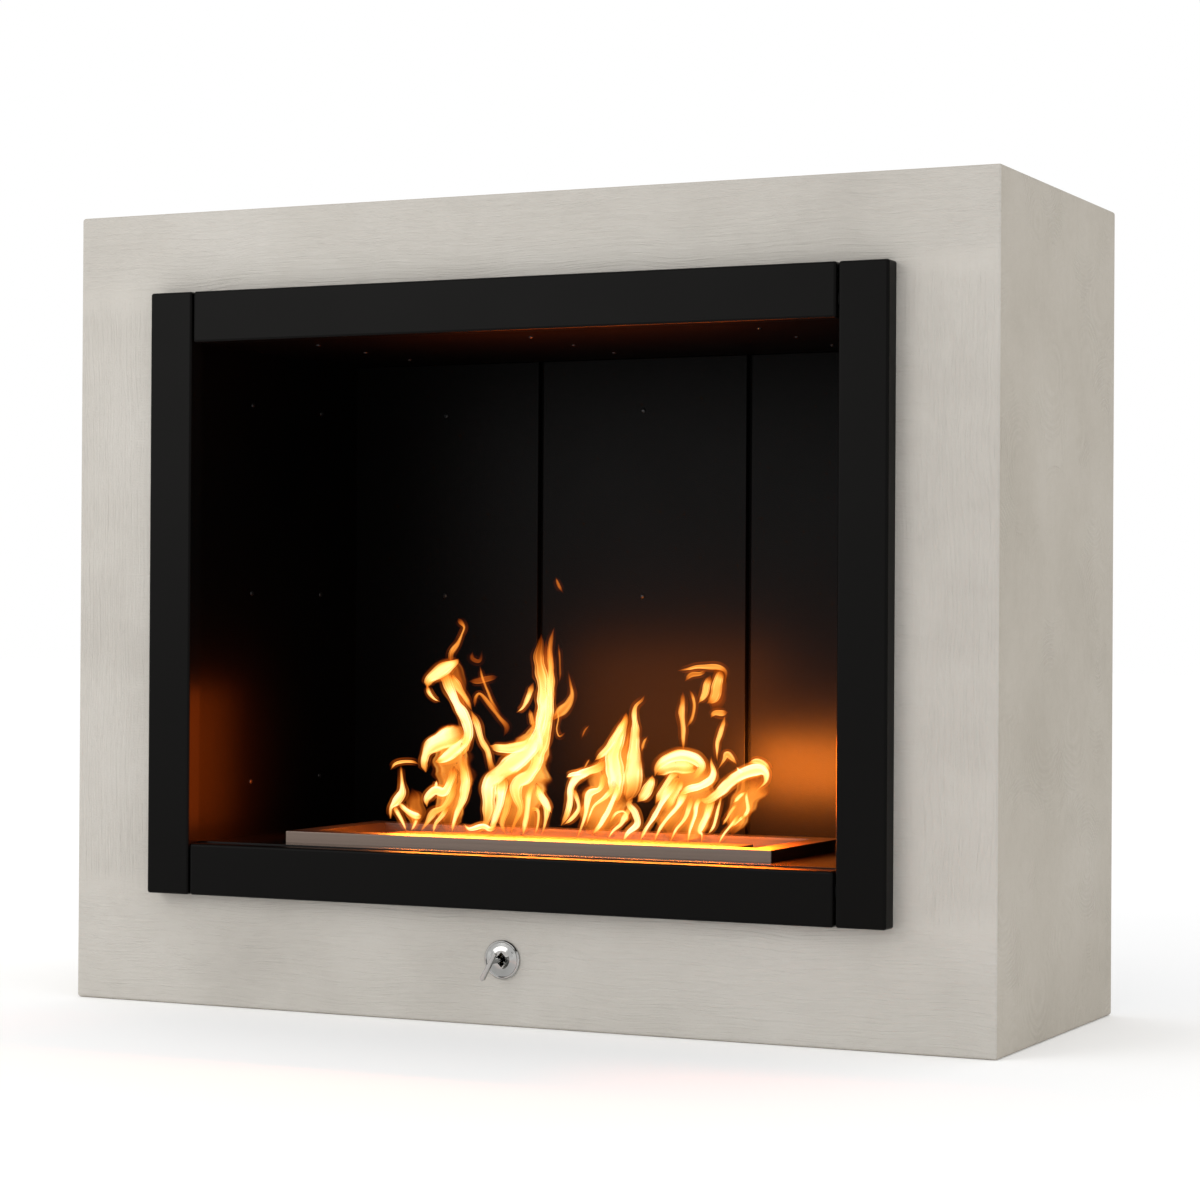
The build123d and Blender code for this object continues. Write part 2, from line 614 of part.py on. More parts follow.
# Mixer: a venturi tube with two air windows, slipped over the elbow
MIXER_RIGHT = ELBOW_END[0] + ELBOW_TAIL
MIXER_LEFT = MIXER_RIGHT - MIXER_LENGTH
MIXER_BORE = ELBOW_RADIUS + RUN_CLEAR
MIXER_RADIUS = MIXER_BORE + MIXER_WALL
FEED_CENTRE = (0, BURNER_Y, FEED_Z)
WINDOW_X = MIXER_LEFT + AIR_WINDOW
with BuildPart() as mixer_tube:
    turned(
        [
            (MIXER_LEFT, ORIFICE_FLATS / 4),
            (MIXER_LEFT, MIXER_RADIUS),
            (MIXER_RIGHT, MIXER_RADIUS),
            (MIXER_RIGHT, MIXER_BORE),
            (MIXER_RIGHT - ELBOW_TAIL - RUN_CLEAR, MIXER_BORE),
            (MIXER_RIGHT - ELBOW_TAIL - RUN_CLEAR, ELBOW_BORE),
            ((MIXER_LEFT + MIXER_RIGHT) / 2, MIXER_THROAT),
            (MIXER_LEFT + 2 * AIR_WINDOW, MIXER_BORE),
            (MIXER_LEFT + MIXER_WALL, MIXER_BORE),
            (MIXER_LEFT + MIXER_WALL, ORIFICE_FLATS / 4),
        ],
        FEED_CENTRE,
        "x",
    )
    window_width = 2 * MIXER_RADIUS * sin(radians(AIR_WINDOW_ARC / 2))
    slab(
        (WINDOW_X - AIR_WINDOW / 2, BURNER_Y - 2 * MIXER_RADIUS, FEED_Z - window_width / 2),
        (WINDOW_X + AIR_WINDOW / 2, BURNER_Y + 2 * MIXER_RADIUS, FEED_Z + window_width / 2),
        Mode.SUBTRACT,
    )
save(mixer_tube, "mixer_tube")

# Air shutter: a collar that turns on the mixer and closes its windows
SHUTTER_BORE = MIXER_RADIUS + RUN_CLEAR
SHUTTER_RADIUS = SHUTTER_BORE + SHUTTER_WALL
with BuildPart() as air_shutter:
    rod((WINDOW_X, BURNER_Y, FEED_Z), SHUTTER_RADIUS, SHUTTER_LENGTH, "x")
    rod((WINDOW_X, BURNER_Y, FEED_Z), SHUTTER_BORE, SHUTTER_LENGTH, "x", Mode.SUBTRACT)
    slab(
        (WINDOW_X - AIR_WINDOW / 2, BURNER_Y - 2 * MIXER_RADIUS, FEED_Z - window_width / 2),
        (WINDOW_X + AIR_WINDOW / 2, BURNER_Y + 2 * MIXER_RADIUS, FEED_Z + window_width / 2),
        Mode.SUBTRACT,
    )
    screw_foot = FEED_Z - SHUTTER_RADIUS + SHUTTER_WALL / 2
    rod(
        (WINDOW_X, BURNER_Y, screw_foot - SHUTTER_SCREW_HEIGHT / 2),
        SHUTTER_SCREW_RADIUS,
        SHUTTER_SCREW_HEIGHT,
        "z",
    )
save(air_shutter, "air_shutter")

# Gas orifice: brass hexagon with a fine jet, screwed into the end of the mixer
ORIFICE_LEFT = MIXER_LEFT - ORIFICE_FLATS / 2
with BuildPart() as gas_orifice:
    jet_radius = ORIFICE_FLATS / 4 - RUN_CLEAR
    hexagon((ORIFICE_LEFT, BURNER_Y, FEED_Z), "x", ORIFICE_FLATS, MIXER_LEFT - ORIFICE_LEFT)
    turned(
        [
            (MIXER_LEFT, 0),
            (MIXER_LEFT, jet_radius),
            (WINDOW_X - jet_radius, jet_radius),
            (WINDOW_X, ORIFICE_BORE * 2),
            (WINDOW_X, 0),
        ],
        FEED_CENTRE,
        "x",
    )
    turned(
        [(ORIFICE_LEFT, 0), (ORIFICE_LEFT, GAS_BORE), (MIXER_LEFT, GAS_BORE), (MIXER_LEFT, 0)],
        FEED_CENTRE,
        "x",
        Mode.SUBTRACT,
    )
    rod((WINDOW_X, BURNER_Y, FEED_Z), ORIFICE_BORE, 2 * (WINDOW_X - MIXER_LEFT), "x", Mode.SUBTRACT)
save(gas_orifice, "gas_orifice")

# Key valve: escutcheon, sleeve through the wall, locknut, body, end cap, plug and key
VALVE_AXIS = (VALVE_X, 0, VALVE_Z)
FACE = FRONT - ESCUTCHEON_THICK
with BuildPart() as valve_escutcheon:
    edge = ESCUTCHEON_RADIUS
    turned(
        [
            (FRONT, 0),
            (FRONT, edge),
            (FACE + 2.2, edge),
            (FACE + 0.7, edge - 1.2),
            (FACE + 0.7, edge - 2.6),
            (FACE + 2, edge - 4),
            (FACE + 1.4, edge - 9),
            (FACE, edge - 15),
            (FACE, 0),
        ],
        VALVE_AXIS,
        "y",
    )
    turned(
        [
            (FRONT, 0),
            (FRONT, SLEEVE_BORE - SLEEVE_CLEAR),
            (FRONT + WALL / 2, SLEEVE_BORE - SLEEVE_CLEAR),
            (FRONT + WALL / 2, 0),
        ],
        VALVE_AXIS,
        "y",
    )
    rod((VALVE_X, FRONT + WALL / 4, VALVE_Z), KEYWAY * 0.71, WALL / 2, "y", Mode.SUBTRACT)
    with Locations(Location((VALVE_X, FRONT, VALVE_Z), (0, 45, 0))):
        Box(KEYWAY, 4 * ESCUTCHEON_THICK, KEYWAY, mode=Mode.SUBTRACT)
save(valve_escutcheon, "valve_escutcheon")

BODY_FACE = VALVE_Y - VALVE_BODY_FRONT
BODY_REAR = VALVE_Y + VALVE_BODY_BACK
with BuildPart() as valve_sleeve:
    sleeve_length = BODY_FACE - FRONT
    sleeve_centre = (VALVE_X, FRONT + sleeve_length / 2, VALVE_Z)
    rod(sleeve_centre, SLEEVE_RADIUS, sleeve_length, "y")
    rod(sleeve_centre, SLEEVE_BORE, sleeve_length, "y", Mode.SUBTRACT)
save(valve_sleeve, "valve_sleeve")

with BuildPart() as sleeve_locknut:
    hexagon((VALVE_X, INNER_FRONT, VALVE_Z), "y", SLEEVE_NUT_FLATS, SLEEVE_NUT_HEIGHT)
    rod(
        (VALVE_X, INNER_FRONT + SLEEVE_NUT_HEIGHT / 2, VALVE_Z),
        SLEEVE_RADIUS + THREAD_SEAT,
        SLEEVE_NUT_HEIGHT,
        "y",
        Mode.SUBTRACT,
    )
save(sleeve_locknut, "sleeve_locknut")

PLUG_FRONT = VALVE_Y - 1.5 * PLUG_RADIUS
with BuildPart() as valve_body:
    turned(
        [(BODY_FACE, 0), (BODY_FACE, VALVE_BODY_RADIUS), (BODY_REAR, VALVE_BODY_RADIUS), (BODY_REAR, 0)],
        VALVE_AXIS,
        "y",
    )
    hexagon((VALVE_X - PORT_HEX, VALVE_Y, VALVE_Z), "x", PORT_FLATS, 2 * PORT_HEX)
    rod((VALVE_X, VALVE_Y, VALVE_Z), PORT_SPIGOT, 2 * PORT_REACH, "x")
    rod(
        (VALVE_X, (PLUG_FRONT + BODY_REAR) / 2, VALVE_Z),
        PLUG_RADIUS + PLUG_CLEAR,
        BODY_REAR - PLUG_FRONT,
        "y",
        Mode.SUBTRACT,
    )
    rod(
        (VALVE_X, (PLUG_FRONT + BODY_FACE) / 2, VALVE_Z),
        STEM_RADIUS + PLUG_CLEAR,
        2 * (PLUG_FRONT - BODY_FACE),
        "y",
        Mode.SUBTRACT,
    )
    rod((VALVE_X, VALVE_Y, VALVE_Z), GAS_BORE, 2 * PORT_REACH, "x", Mode.SUBTRACT)
save(valve_body, "valve_body")

with BuildPart() as valve_end_cap:
    hexagon((VALVE_X, BODY_REAR, VALVE_Z), "y", PORT_FLATS, PLUG_RADIUS)
    chamfer(valve_end_cap.faces().sort_by(Axis.Y)[-1].edges(), 1)
save(valve_end_cap, "valve_end_cap")

# Plug, stem and square tip turn together
with BuildPart() as valve_plug:
    plug_rear = BODY_REAR - RUN_CLEAR
    turned(
        [
            (STEM_SHOULDER, 0),
            (STEM_SHOULDER, STEM_RADIUS),
            (PLUG_FRONT + RUN_CLEAR, STEM_RADIUS),
            (PLUG_FRONT + RUN_CLEAR, PLUG_RADIUS),
            (plug_rear, PLUG_RADIUS),
            (plug_rear, 0),
        ],
        VALVE_AXIS,
        "y",
    )
    with Locations(Location((VALVE_X, (STEM_SHOULDER + STEM_TIP) / 2, VALVE_Z), (0, KEY_TURN, 0))):
        Box(STEM_SQUARE, STEM_SHOULDER - STEM_TIP, STEM_SQUARE)
    with Locations(Location((VALVE_X, VALVE_Y, VALVE_Z), (0, KEY_TURN, 0))):
        Cylinder(GAS_BORE, 4 * PLUG_RADIUS, rotation=(0, 90, 0), mode=Mode.SUBTRACT)
save(valve_plug, "valve_plug")

# Key: square socket, shaft and a tapered bar handle, longer on its lower side
KEY_REAR = STEM_SHOULDER - RUN_CLEAR
KEY_SOCKET_END = STEM_TIP - 2
with BuildPart() as valve_key:
    shaft_end = KEY_PLANE + KEY_THICK / 2
    turned(
        [
            (KEY_REAR, 0),
            (KEY_REAR, KEY_BARREL),
            (KEY_SOCKET_END - 2, KEY_BARREL),
            (KEY_SOCKET_END - 5, KEY_SHAFT),
            (shaft_end, KEY_SHAFT),
            (shaft_end, 0),
        ],
        VALVE_AXIS,
        "y",
    )
    with Locations(Location((VALVE_X, (KEY_REAR + KEY_SOCKET_END) / 2, VALVE_Z), (0, KEY_TURN, 0))):
        Box(KEY_SQUARE, KEY_REAR - KEY_SOCKET_END, KEY_SQUARE, mode=Mode.SUBTRACT)
    lean = radians(KEY_TURN)
    bar = Plane(
        origin=(VALVE_X, shaft_end, VALVE_Z),
        x_dir=(-sin(lean), 0, -cos(lean)),
        z_dir=(0, -1, 0),
    )
    with BuildSketch(bar):
        with BuildLine():
            long_x = KEY_LONG - KEY_WIDE
            short_x = -KEY_SHORT + KEY_NARROW
            Line((short_x, KEY_NARROW), (long_x, KEY_WIDE))
            ThreePointArc((long_x, KEY_WIDE), (KEY_LONG, 0), (long_x, -KEY_WIDE))
            Line((long_x, -KEY_WIDE), (short_x, -KEY_NARROW))
            ThreePointArc((short_x, -KEY_NARROW), (-KEY_SHORT, 0), (short_x, KEY_NARROW))
        make_face()
    extrude(amount=KEY_THICK)
    fillet(valve_key.faces().sort_by(Axis.Y)[0].edges(), 1)
save(valve_key, "valve_key")

# Chassis of square tube: posts, side rails and cross rails, butted and welded
RAIL_LEVELS = [WALL, RAIL_MIDDLE, RAIL_TOP]
POST_ROWS = [(RAIL_FRONT, RAIL_FRONT + TUBE), (RAIL_BACK, RAIL_BACK + TUBE)]
PANEL_SCREW_X = POST_OUT - TUBE / 2
PANEL_SCREW_Z = [z + TUBE / 2 for z in (WALL, RAIL_MIDDLE, RAIL_TOP)] + [FIRE_MIDDLE]
PANEL_SCREWS = [(side * PANEL_SCREW_X, z) for side in (-1, 1) for z in PANEL_SCREW_Z]
PANEL_SCREW_LENGTH = 12
FIXING_ROWS = [RAIL_MIDDLE + TUBE / 2, RAIL_TOP + TUBE / 2]
FIXINGS = [(side * FIXING_X, z) for side in (-1, 1) for z in FIXING_ROWS]


def square_tube(low, high, axis):
    """Hollow square tube between two corners, open at its ends along the axis."""
    slab(low, high)
    i = "xyz".index(axis)
    inner_low = [a if k == i else a + TUBE_WALL for k, a in enumerate(low)]
    inner_high = [b if k == i else b - TUBE_WALL for k, b in enumerate(high)]
    slab(inner_low, inner_high, Mode.SUBTRACT)


def drill_back():
    """Holes of the panel screws and the wall fixings, through whatever part is being built."""
    for x, z in PANEL_SCREWS:
        rod((x, PANEL_FRONT, z), HOLE, 2 * PANEL_SCREW_LENGTH, "y", Mode.SUBTRACT)
    for x, z in FIXINGS:
        rod((x, PANEL_FRONT, z), FIXING_RADIUS + SCREW_CLEAR, 2 * FIXING_LENGTH, "y", Mode.SUBTRACT)


with BuildPart() as chassis_posts:
    for x0, x1 in ((-POST_OUT, -POST_IN), (POST_IN, POST_OUT)):
        for y0, y1 in POST_ROWS:
            square_tube((x0, y0, WALL), (x1, y1, INNER_TOP), "z")
    drill_back()
save(chassis_posts, "chassis_posts")

with BuildPart() as chassis_rails:
    for z in RAIL_LEVELS:
        for x0, x1 in ((-POST_OUT, -POST_IN), (POST_IN, POST_OUT)):
            square_tube((x0, POST_ROWS[0][1], z), (x1, POST_ROWS[1][0], z + TUBE), "y")
        for y0, y1 in POST_ROWS:
            square_tube((-POST_IN, y0, z), (POST_IN, y1, z + TUBE), "x")
    drill_back()
save(chassis_rails, "chassis_rails")

# Two bearers that carry the firebox between the middle cross rails
with BuildPart() as firebox_bearers:
    for side in (-1, 1):
        x = side * SUPPORT_X
        square_tube(
            (x - TUBE / 2, POST_ROWS[0][1], RAIL_MIDDLE),
            (x + TUBE / 2, POST_ROWS[1][0], SUPPORT_TOP),
            "y",
        )
save(firebox_bearers, "firebox_bearers")

# Angle cleats between the chassis and the cast walls
with BuildPart() as surround_cleats:
    for side in (-1, 1):
        x = side * CLEAT_X
        for foot, rail in ((WALL, WALL + TUBE), (INNER_TOP, RAIL_TOP)):
            y0 = POST_ROWS[0][1]
            low_z, high_z = sorted((foot, foot + (CLEAT_SHEET if foot < rail else -CLEAT_SHEET)))
            slab((x - CLEAT / 2, y0, low_z), (x + CLEAT / 2, y0 + CLEAT, high_z))
            low_z, high_z = sorted((foot, rail))
            slab((x - CLEAT / 2, y0, low_z), (x + CLEAT / 2, y0 + CLEAT_SHEET, high_z))
save(surround_cleats, "surround_cleats")

# Back panel with vents and the opening of the service door
PANEL_HALF_WIDTH = INNER_HALF_WIDTH - PANEL_GAP
VENT_FIELDS = [(-FIXING_X + 2 * VENT_PITCH_X, (DOOR_BOTTOM + DOOR_TOP) / 2, 3), (0, BOARD_TOP + VENT_RISE, 6)]
with BuildPart() as back_panel:
    slab(
        (-PANEL_HALF_WIDTH, PANEL_FRONT, WALL + PANEL_GAP),
        (PANEL_HALF_WIDTH, PANEL_BACK, INNER_TOP - PANEL_GAP),
    )
    slab(
        (DOOR_LEFT, PANEL_FRONT, DOOR_BOTTOM),
        (DOOR_RIGHT, PANEL_BACK, DOOR_TOP),
        Mode.SUBTRACT,
    )
    for x, z, columns in VENT_FIELDS:
        with BuildSketch(Plane(origin=(x, PANEL_FRONT, z), x_dir=(1, 0, 0), z_dir=(0, -1, 0))):
            with GridLocations(VENT_PITCH_X, VENT_PITCH_Z, columns, VENT_ROW_COUNT):
                SlotOverall(VENT_LENGTH, VENT_HEIGHT)
        extrude(amount=-2 * PANEL, mode=Mode.SUBTRACT)
    rod((SUPPLY_X, PANEL_FRONT, VALVE_Z), INLET_RADIUS + RUN_CLEAR, 4 * PANEL, "y", Mode.SUBTRACT)
    drill_back()
save(back_panel, "back_panel")

with BuildPart() as back_panel_screws:
    for x, z in PANEL_SCREWS:
        screw((x, PANEL_BACK, z), "y", 1, PANEL_SCREW_LENGTH)
save(back_panel_screws, "back_panel_screws")

# Threaded inserts in the rear rails, for bolts that tie the fireplace to a wall
with BuildPart() as wall_fixing_inserts:
    for x, z in FIXINGS:
        turned(
            [
                (PANEL_BACK - FIXING_LENGTH, FIXING_BORE),
                (PANEL_BACK - FIXING_LENGTH, FIXING_RADIUS),
                (PANEL_BACK, FIXING_RADIUS),
                (PANEL_BACK, FIXING_FLANGE),
                (PANEL_BACK + PANEL, FIXING_FLANGE),
                (PANEL_BACK + PANEL, FIXING_BORE),
            ],
            (x, 0, z),
            "y",
        )
save(wall_fixing_inserts, "wall_fixing_inserts")

# Gas inlet: female thread outside, locknut inside
INLET_END = PANEL_BACK + INLET_STAND
INLET_FRONT = RAIL_BACK + TUBE / 3
SUPPLY_AXIS = (SUPPLY_X, 0, VALVE_Z)
with BuildPart() as gas_inlet:
    turned(
        [
            (INLET_FRONT, SUPPLY_BORE),
            (INLET_FRONT, INLET_RADIUS),
            (INLET_END, INLET_RADIUS),
            (INLET_END, INLET_BORE),
            (INLET_END - INLET_THREAD, INLET_BORE),
            (INLET_END - INLET_THREAD, SUPPLY_BORE),
        ],
        SUPPLY_AXIS,
        "y",
    )
    with BuildSketch(Plane(origin=(SUPPLY_X, PANEL_BACK, VALVE_Z), x_dir=(1, 0, 0), z_dir=(0, 1, 0))):
        RegularPolygon(INLET_FLATS / 2, 6, major_radius=False)
        Circle(INLET_RADIUS - 1, mode=Mode.SUBTRACT)
    extrude(amount=INLET_HEX)
save(gas_inlet, "gas_inlet")

with BuildPart() as inlet_locknut:
    hexagon((SUPPLY_X, PANEL_FRONT - INLET_HEX, VALVE_Z), "y", INLET_FLATS + 2, INLET_HEX)
    rod(
        (SUPPLY_X, PANEL_FRONT - INLET_HEX / 2, VALVE_Z),
        INLET_RADIUS + THREAD_SEAT,
        INLET_HEX,
        "y",
        Mode.SUBTRACT,
    )
save(inlet_locknut, "inlet_locknut")

# Isolation valve: body with a ball seat, ball with its stem and capped nut, and the lever
BALL_Y = INLET_FRONT - BALL_VALVE_LENGTH / 2
BALL_FRONT = INLET_FRONT - BALL_VALVE_LENGTH
NECK_TOP = LEVER_Z - 2 * RUN_CLEAR
HUB = BALL_VALVE_LENGTH / 4
with BuildPart() as isolation_valve_body:
    hexagon((SUPPLY_X, BALL_FRONT, VALVE_Z), "y", BALL_VALVE_FLATS, HUB)
    hexagon((SUPPLY_X, INLET_FRONT - HUB, VALVE_Z), "y", BALL_VALVE_FLATS, HUB)
    rod((SUPPLY_X, BALL_Y, VALVE_Z), BALL_VALVE_RADIUS, BALL_VALVE_LENGTH - 2 * HUB, "y")
    rod((SUPPLY_X, BALL_Y, (VALVE_Z + NECK_TOP) / 2), BALL_NECK_RADIUS, NECK_TOP - VALVE_Z, "z")
    with Locations((SUPPLY_X, BALL_Y, VALVE_Z)):
        Sphere(BALL_RADIUS + PLUG_CLEAR, mode=Mode.SUBTRACT)
    rod((SUPPLY_X, BALL_Y, VALVE_Z), SUPPLY_BORE, 2 * BALL_VALVE_LENGTH, "y", Mode.SUBTRACT)
    rod(
        (SUPPLY_X, BALL_Y, (VALVE_Z + LEVER_Z) / 2),
        BALL_STEM_RADIUS + PLUG_CLEAR,
        LEVER_Z - VALVE_Z,
        "z",
        Mode.SUBTRACT,
    )
save(isolation_valve_body, "isolation_valve_body")

with BuildPart() as isolation_ball:
    with Locations((SUPPLY_X, BALL_Y, VALVE_Z)):
        Sphere(BALL_RADIUS)
    stem_top = LEVER_Z + 3 * LEVER_THICK
    rod((SUPPLY_X, BALL_Y, (VALVE_Z + stem_top) / 2), BALL_STEM_RADIUS, stem_top - VALVE_Z, "z")
    rod((SUPPLY_X, BALL_Y, VALVE_Z), SUPPLY_BORE, 4 * BALL_RADIUS, "y", Mode.SUBTRACT)
    hexagon((SUPPLY_X, BALL_Y, LEVER_Z + LEVER_THICK), "z", LEVER_WIDTH, 1.5 * LEVER_THICK)
save(isolation_ball, "isolation_ball")

with BuildPart() as isolation_lever:
    with BuildSketch(Plane(origin=(SUPPLY_X, BALL_Y, LEVER_Z))):
        Circle(LEVER_WIDTH / 2 + 2)
        with Locations((0, -LEVER_LENGTH / 2)):
            SlotOverall(LEVER_LENGTH, LEVER_WIDTH, rotation=90)
        Circle(BALL_STEM_RADIUS, mode=Mode.SUBTRACT)
    extrude(amount=LEVER_THICK)
save(isolation_lever, "isolation_lever")

# Regulator with its adjuster cap, on a stand from the floor of the surround
REGULATOR_Y = BALL_FRONT - REGULATOR_LENGTH / 2
REGULATOR_FRONT = BALL_FRONT - REGULATOR_LENGTH
with BuildPart() as gas_regulator:
    half = REGULATOR_HEIGHT / 2
    turned(
        [
            (-half, 0),
            (-half, REGULATOR_RADIUS * 0.6),
            (-half / 3, REGULATOR_RADIUS),
            (half / 3, REGULATOR_RADIUS),
            (half, REGULATOR_RADIUS * 0.55),
            (half, 0),
        ],
        (SUPPLY_X, REGULATOR_Y, VALVE_Z),
        "z",
    )
    rod((SUPPLY_X, REGULATOR_Y, VALVE_Z), PORT_FLATS * 0.42, REGULATOR_LENGTH, "y")
    rod((SUPPLY_X, REGULATOR_Y, VALVE_Z), GAS_BORE, REGULATOR_LENGTH, "y", Mode.SUBTRACT)
save(gas_regulator, "gas_regulator")

with BuildPart() as regulator_cap:
    rod(
        (SUPPLY_X, REGULATOR_Y, VALVE_Z + half + REGULATOR_CAP_HEIGHT / 2),
        REGULATOR_CAP,
        REGULATOR_CAP_HEIGHT,
        "z",
    )
    fillet(regulator_cap.faces().sort_by(Axis.Z)[-1].edges(), 2)
save(regulator_cap, "regulator_cap")

with BuildPart() as regulator_stand:
    stand_top = VALVE_Z - half
    y0 = REGULATOR_Y - STAND_WIDTH / 2
    y1 = REGULATOR_Y + STAND_WIDTH / 2
    x0 = SUPPLY_X - STAND_WIDTH / 2
    x1 = SUPPLY_X + STAND_WIDTH / 2
    slab((x0, y0, WALL), (x1 + STAND_WIDTH, y1, WALL + BRACKET_SHEET))
    slab((x0, y0, stand_top - BRACKET_SHEET), (x1, y1, stand_top))
    slab((x1 - BRACKET_SHEET, y0, WALL), (x1, y1, stand_top))
save(regulator_stand, "regulator_stand")

# Hoses: the supply hose to the key valve and the burner hose to the orifice
VALVE_RIGHT = (VALVE_X + PORT_REACH, VALVE_Y, VALVE_Z)
VALVE_LEFT = (VALVE_X - PORT_REACH, VALVE_Y, VALVE_Z)
headings = [radians(SUPPLY_TURN * (i + 1)) for i in range(len(SUPPLY_RUNS))]
sweep_back = sum(run * cos(heading) for run, heading in zip(SUPPLY_RUNS, headings))
SUPPLY_ROUTE = [
    (SUPPLY_X, REGULATOR_FRONT, VALVE_Z),
    (SUPPLY_X, VALVE_Y + sweep_back, VALVE_Z),
]
for run, heading in zip(SUPPLY_RUNS, headings):
    x, y, z = SUPPLY_ROUTE[-1]
    SUPPLY_ROUTE.append((x - run * sin(heading), y - run * cos(heading), z))
SUPPLY_ROUTE.append(VALVE_RIGHT)
LOOP_X = VALVE_LEFT[0] - BURNER_RUN
LOOP_STEP = (BURNER_Y - VALVE_Y) / (2 + 2**0.5)
LOOP_RISE = (FEED_Z - VALVE_Z) / 3
BURNER_ROUTE = [
    VALVE_LEFT,
    (LOOP_X, VALVE_Y, VALVE_Z),
    (LOOP_X - LOOP_STEP, VALVE_Y + LOOP_STEP, VALVE_Z + LOOP_RISE),
    (LOOP_X - LOOP_STEP, BURNER_Y - LOOP_STEP, FEED_Z - LOOP_RISE),
    (LOOP_X, BURNER_Y, FEED_Z),
    (ORIFICE_LEFT, BURNER_Y, FEED_Z),
]


def hose(route, name):
    """Round hose with its bore, along a route of straight runs and tangent bends."""
    radii = bend_radii(route)
    start = Plane(origin=route[0], z_dir=Vector(*route[1]) - Vector(*route[0]))
    with BuildPart() as tube:
        with BuildLine() as line:
            FilletPolyline(*route, radius=radii)
        length = sum(edge.length for edge in line.edges())
        with BuildSketch(start):
            Circle(HOSE_RADIUS)
            Circle(HOSE_BORE, mode=Mode.SUBTRACT)
        sweep(path=line.line)
    ideal = pi * (HOSE_RADIUS**2 - HOSE_BORE**2) * length
    print(name, "bend radii", [round(r, 1) for r in radii])
    print(name, "length", round(length, 1), "volume ratio", round(tube.part.volume / ideal, 5))
    return tube


save(hose(SUPPLY_ROUTE, "supply hose"), "supply_hose")
save(hose(BURNER_ROUTE, "burner hose"), "burner_hose")

# Swivel nuts at the four hose ends
HOSE_ENDS = [
    (SUPPLY_ROUTE[0], "y", -HOSE_NUT_LENGTH),
    (VALVE_RIGHT, "x", HOSE_NUT_LENGTH),
    (VALVE_LEFT, "x", -HOSE_NUT_LENGTH),
    (BURNER_ROUTE[-1], "x", -HOSE_NUT_LENGTH),
]
with BuildPart() as hose_nuts:
    for end, axis, reach in HOSE_ENDS:
        hexagon(end, axis, HOSE_NUT_FLATS, reach)
        rod(end, HOSE_RADIUS + THREAD_SEAT, 4 * HOSE_NUT_LENGTH, axis, Mode.SUBTRACT)
save(hose_nuts, "hose_nuts")

# Saddle clips that hold the hoses up from the floor of the surround
with BuildPart() as hose_clips:
    ring = HOSE_RADIUS + RUN_CLEAR
    for x in (SUPPLY_CLIP_X, BURNER_CLIP_X):
        x0 = x - HOSE_CLIP_WIDTH / 2
        x1 = x + HOSE_CLIP_WIDTH / 2
        rod((x, VALVE_Y, VALVE_Z), ring + HOSE_CLIP_WALL, HOSE_CLIP_WIDTH, "x")
        slab((x0, VALVE_Y - HOSE_CLIP_WALL / 2, WALL), (x1, VALVE_Y + HOSE_CLIP_WALL / 2, VALVE_Z))
        slab((x0, VALVE_Y - STAND_WIDTH / 2, WALL), (x1, VALVE_Y + STAND_WIDTH / 2, WALL + HOSE_CLIP_WALL))
        rod((x, VALVE_Y, VALVE_Z), ring, 2 * HOSE_CLIP_WIDTH, "x", Mode.SUBTRACT)
save(hose_clips, "hose_clips")

# Service door over the opening in the back panel, hung on two lift-off hinges
DOOR_FRONT = PANEL_BACK + DOOR_SEAT
DOOR_BACK = DOOR_FRONT + DOOR_SHEET
HINGE_X = DOOR_LEFT - DOOR_LAP - HINGE_RADIUS - DOOR_SHEET
HINGE_Y = PANEL_BACK + HINGE_RADIUS + DOOR_SEAT
HINGE_ZS = [DOOR_BOTTOM + HINGE_INSET, DOOR_TOP - HINGE_INSET]
with BuildPart() as service_door:
    slab(
        (DOOR_LEFT - DOOR_LAP, DOOR_FRONT, DOOR_BOTTOM - DOOR_LAP),
        (DOOR_RIGHT + DOOR_LAP, DOOR_BACK, DOOR_TOP + DOOR_LAP),
    )
    slab(
        (DOOR_RIGHT + DOOR_LAP - DOOR_SHEET, DOOR_FRONT, DOOR_BOTTOM - DOOR_LAP),
        (DOOR_RIGHT + DOOR_LAP, DOOR_BACK + DOOR_LIP, DOOR_TOP + DOOR_LAP),
    )
    with BuildSketch(
        Plane(
            origin=((DOOR_LEFT + DOOR_RIGHT) / 2, DOOR_FRONT, (DOOR_BOTTOM + DOOR_TOP) / 2),
            x_dir=(1, 0, 0),
            z_dir=(0, -1, 0),
        )
    ):
        with GridLocations(VENT_PITCH_X, VENT_PITCH_Z, 3, VENT_ROW_COUNT):
            SlotOverall(VENT_LENGTH, VENT_HEIGHT)
    extrude(amount=-2 * DOOR_SHEET, mode=Mode.SUBTRACT)
save(service_door, "service_door")

# Fixed hinge halves: leaf on the back panel, lower knuckle and pin
with BuildPart() as hinge_pintles:
    for z in HINGE_ZS:
        low = z - HINGE_HEIGHT / 2
        slab(
            (HINGE_X - HINGE_LEAF, PANEL_BACK, low),
            (HINGE_X, PANEL_BACK + HINGE_LEAF_SHEET, z - HINGE_CLEAR),
        )
        rod((HINGE_X, HINGE_Y, (low + z) / 2), HINGE_RADIUS, HINGE_HEIGHT / 2, "z")
        rod((HINGE_X, HINGE_Y, z), HINGE_PIN, HINGE_HEIGHT * 0.9, "z")
save(hinge_pintles, "hinge_pintles")

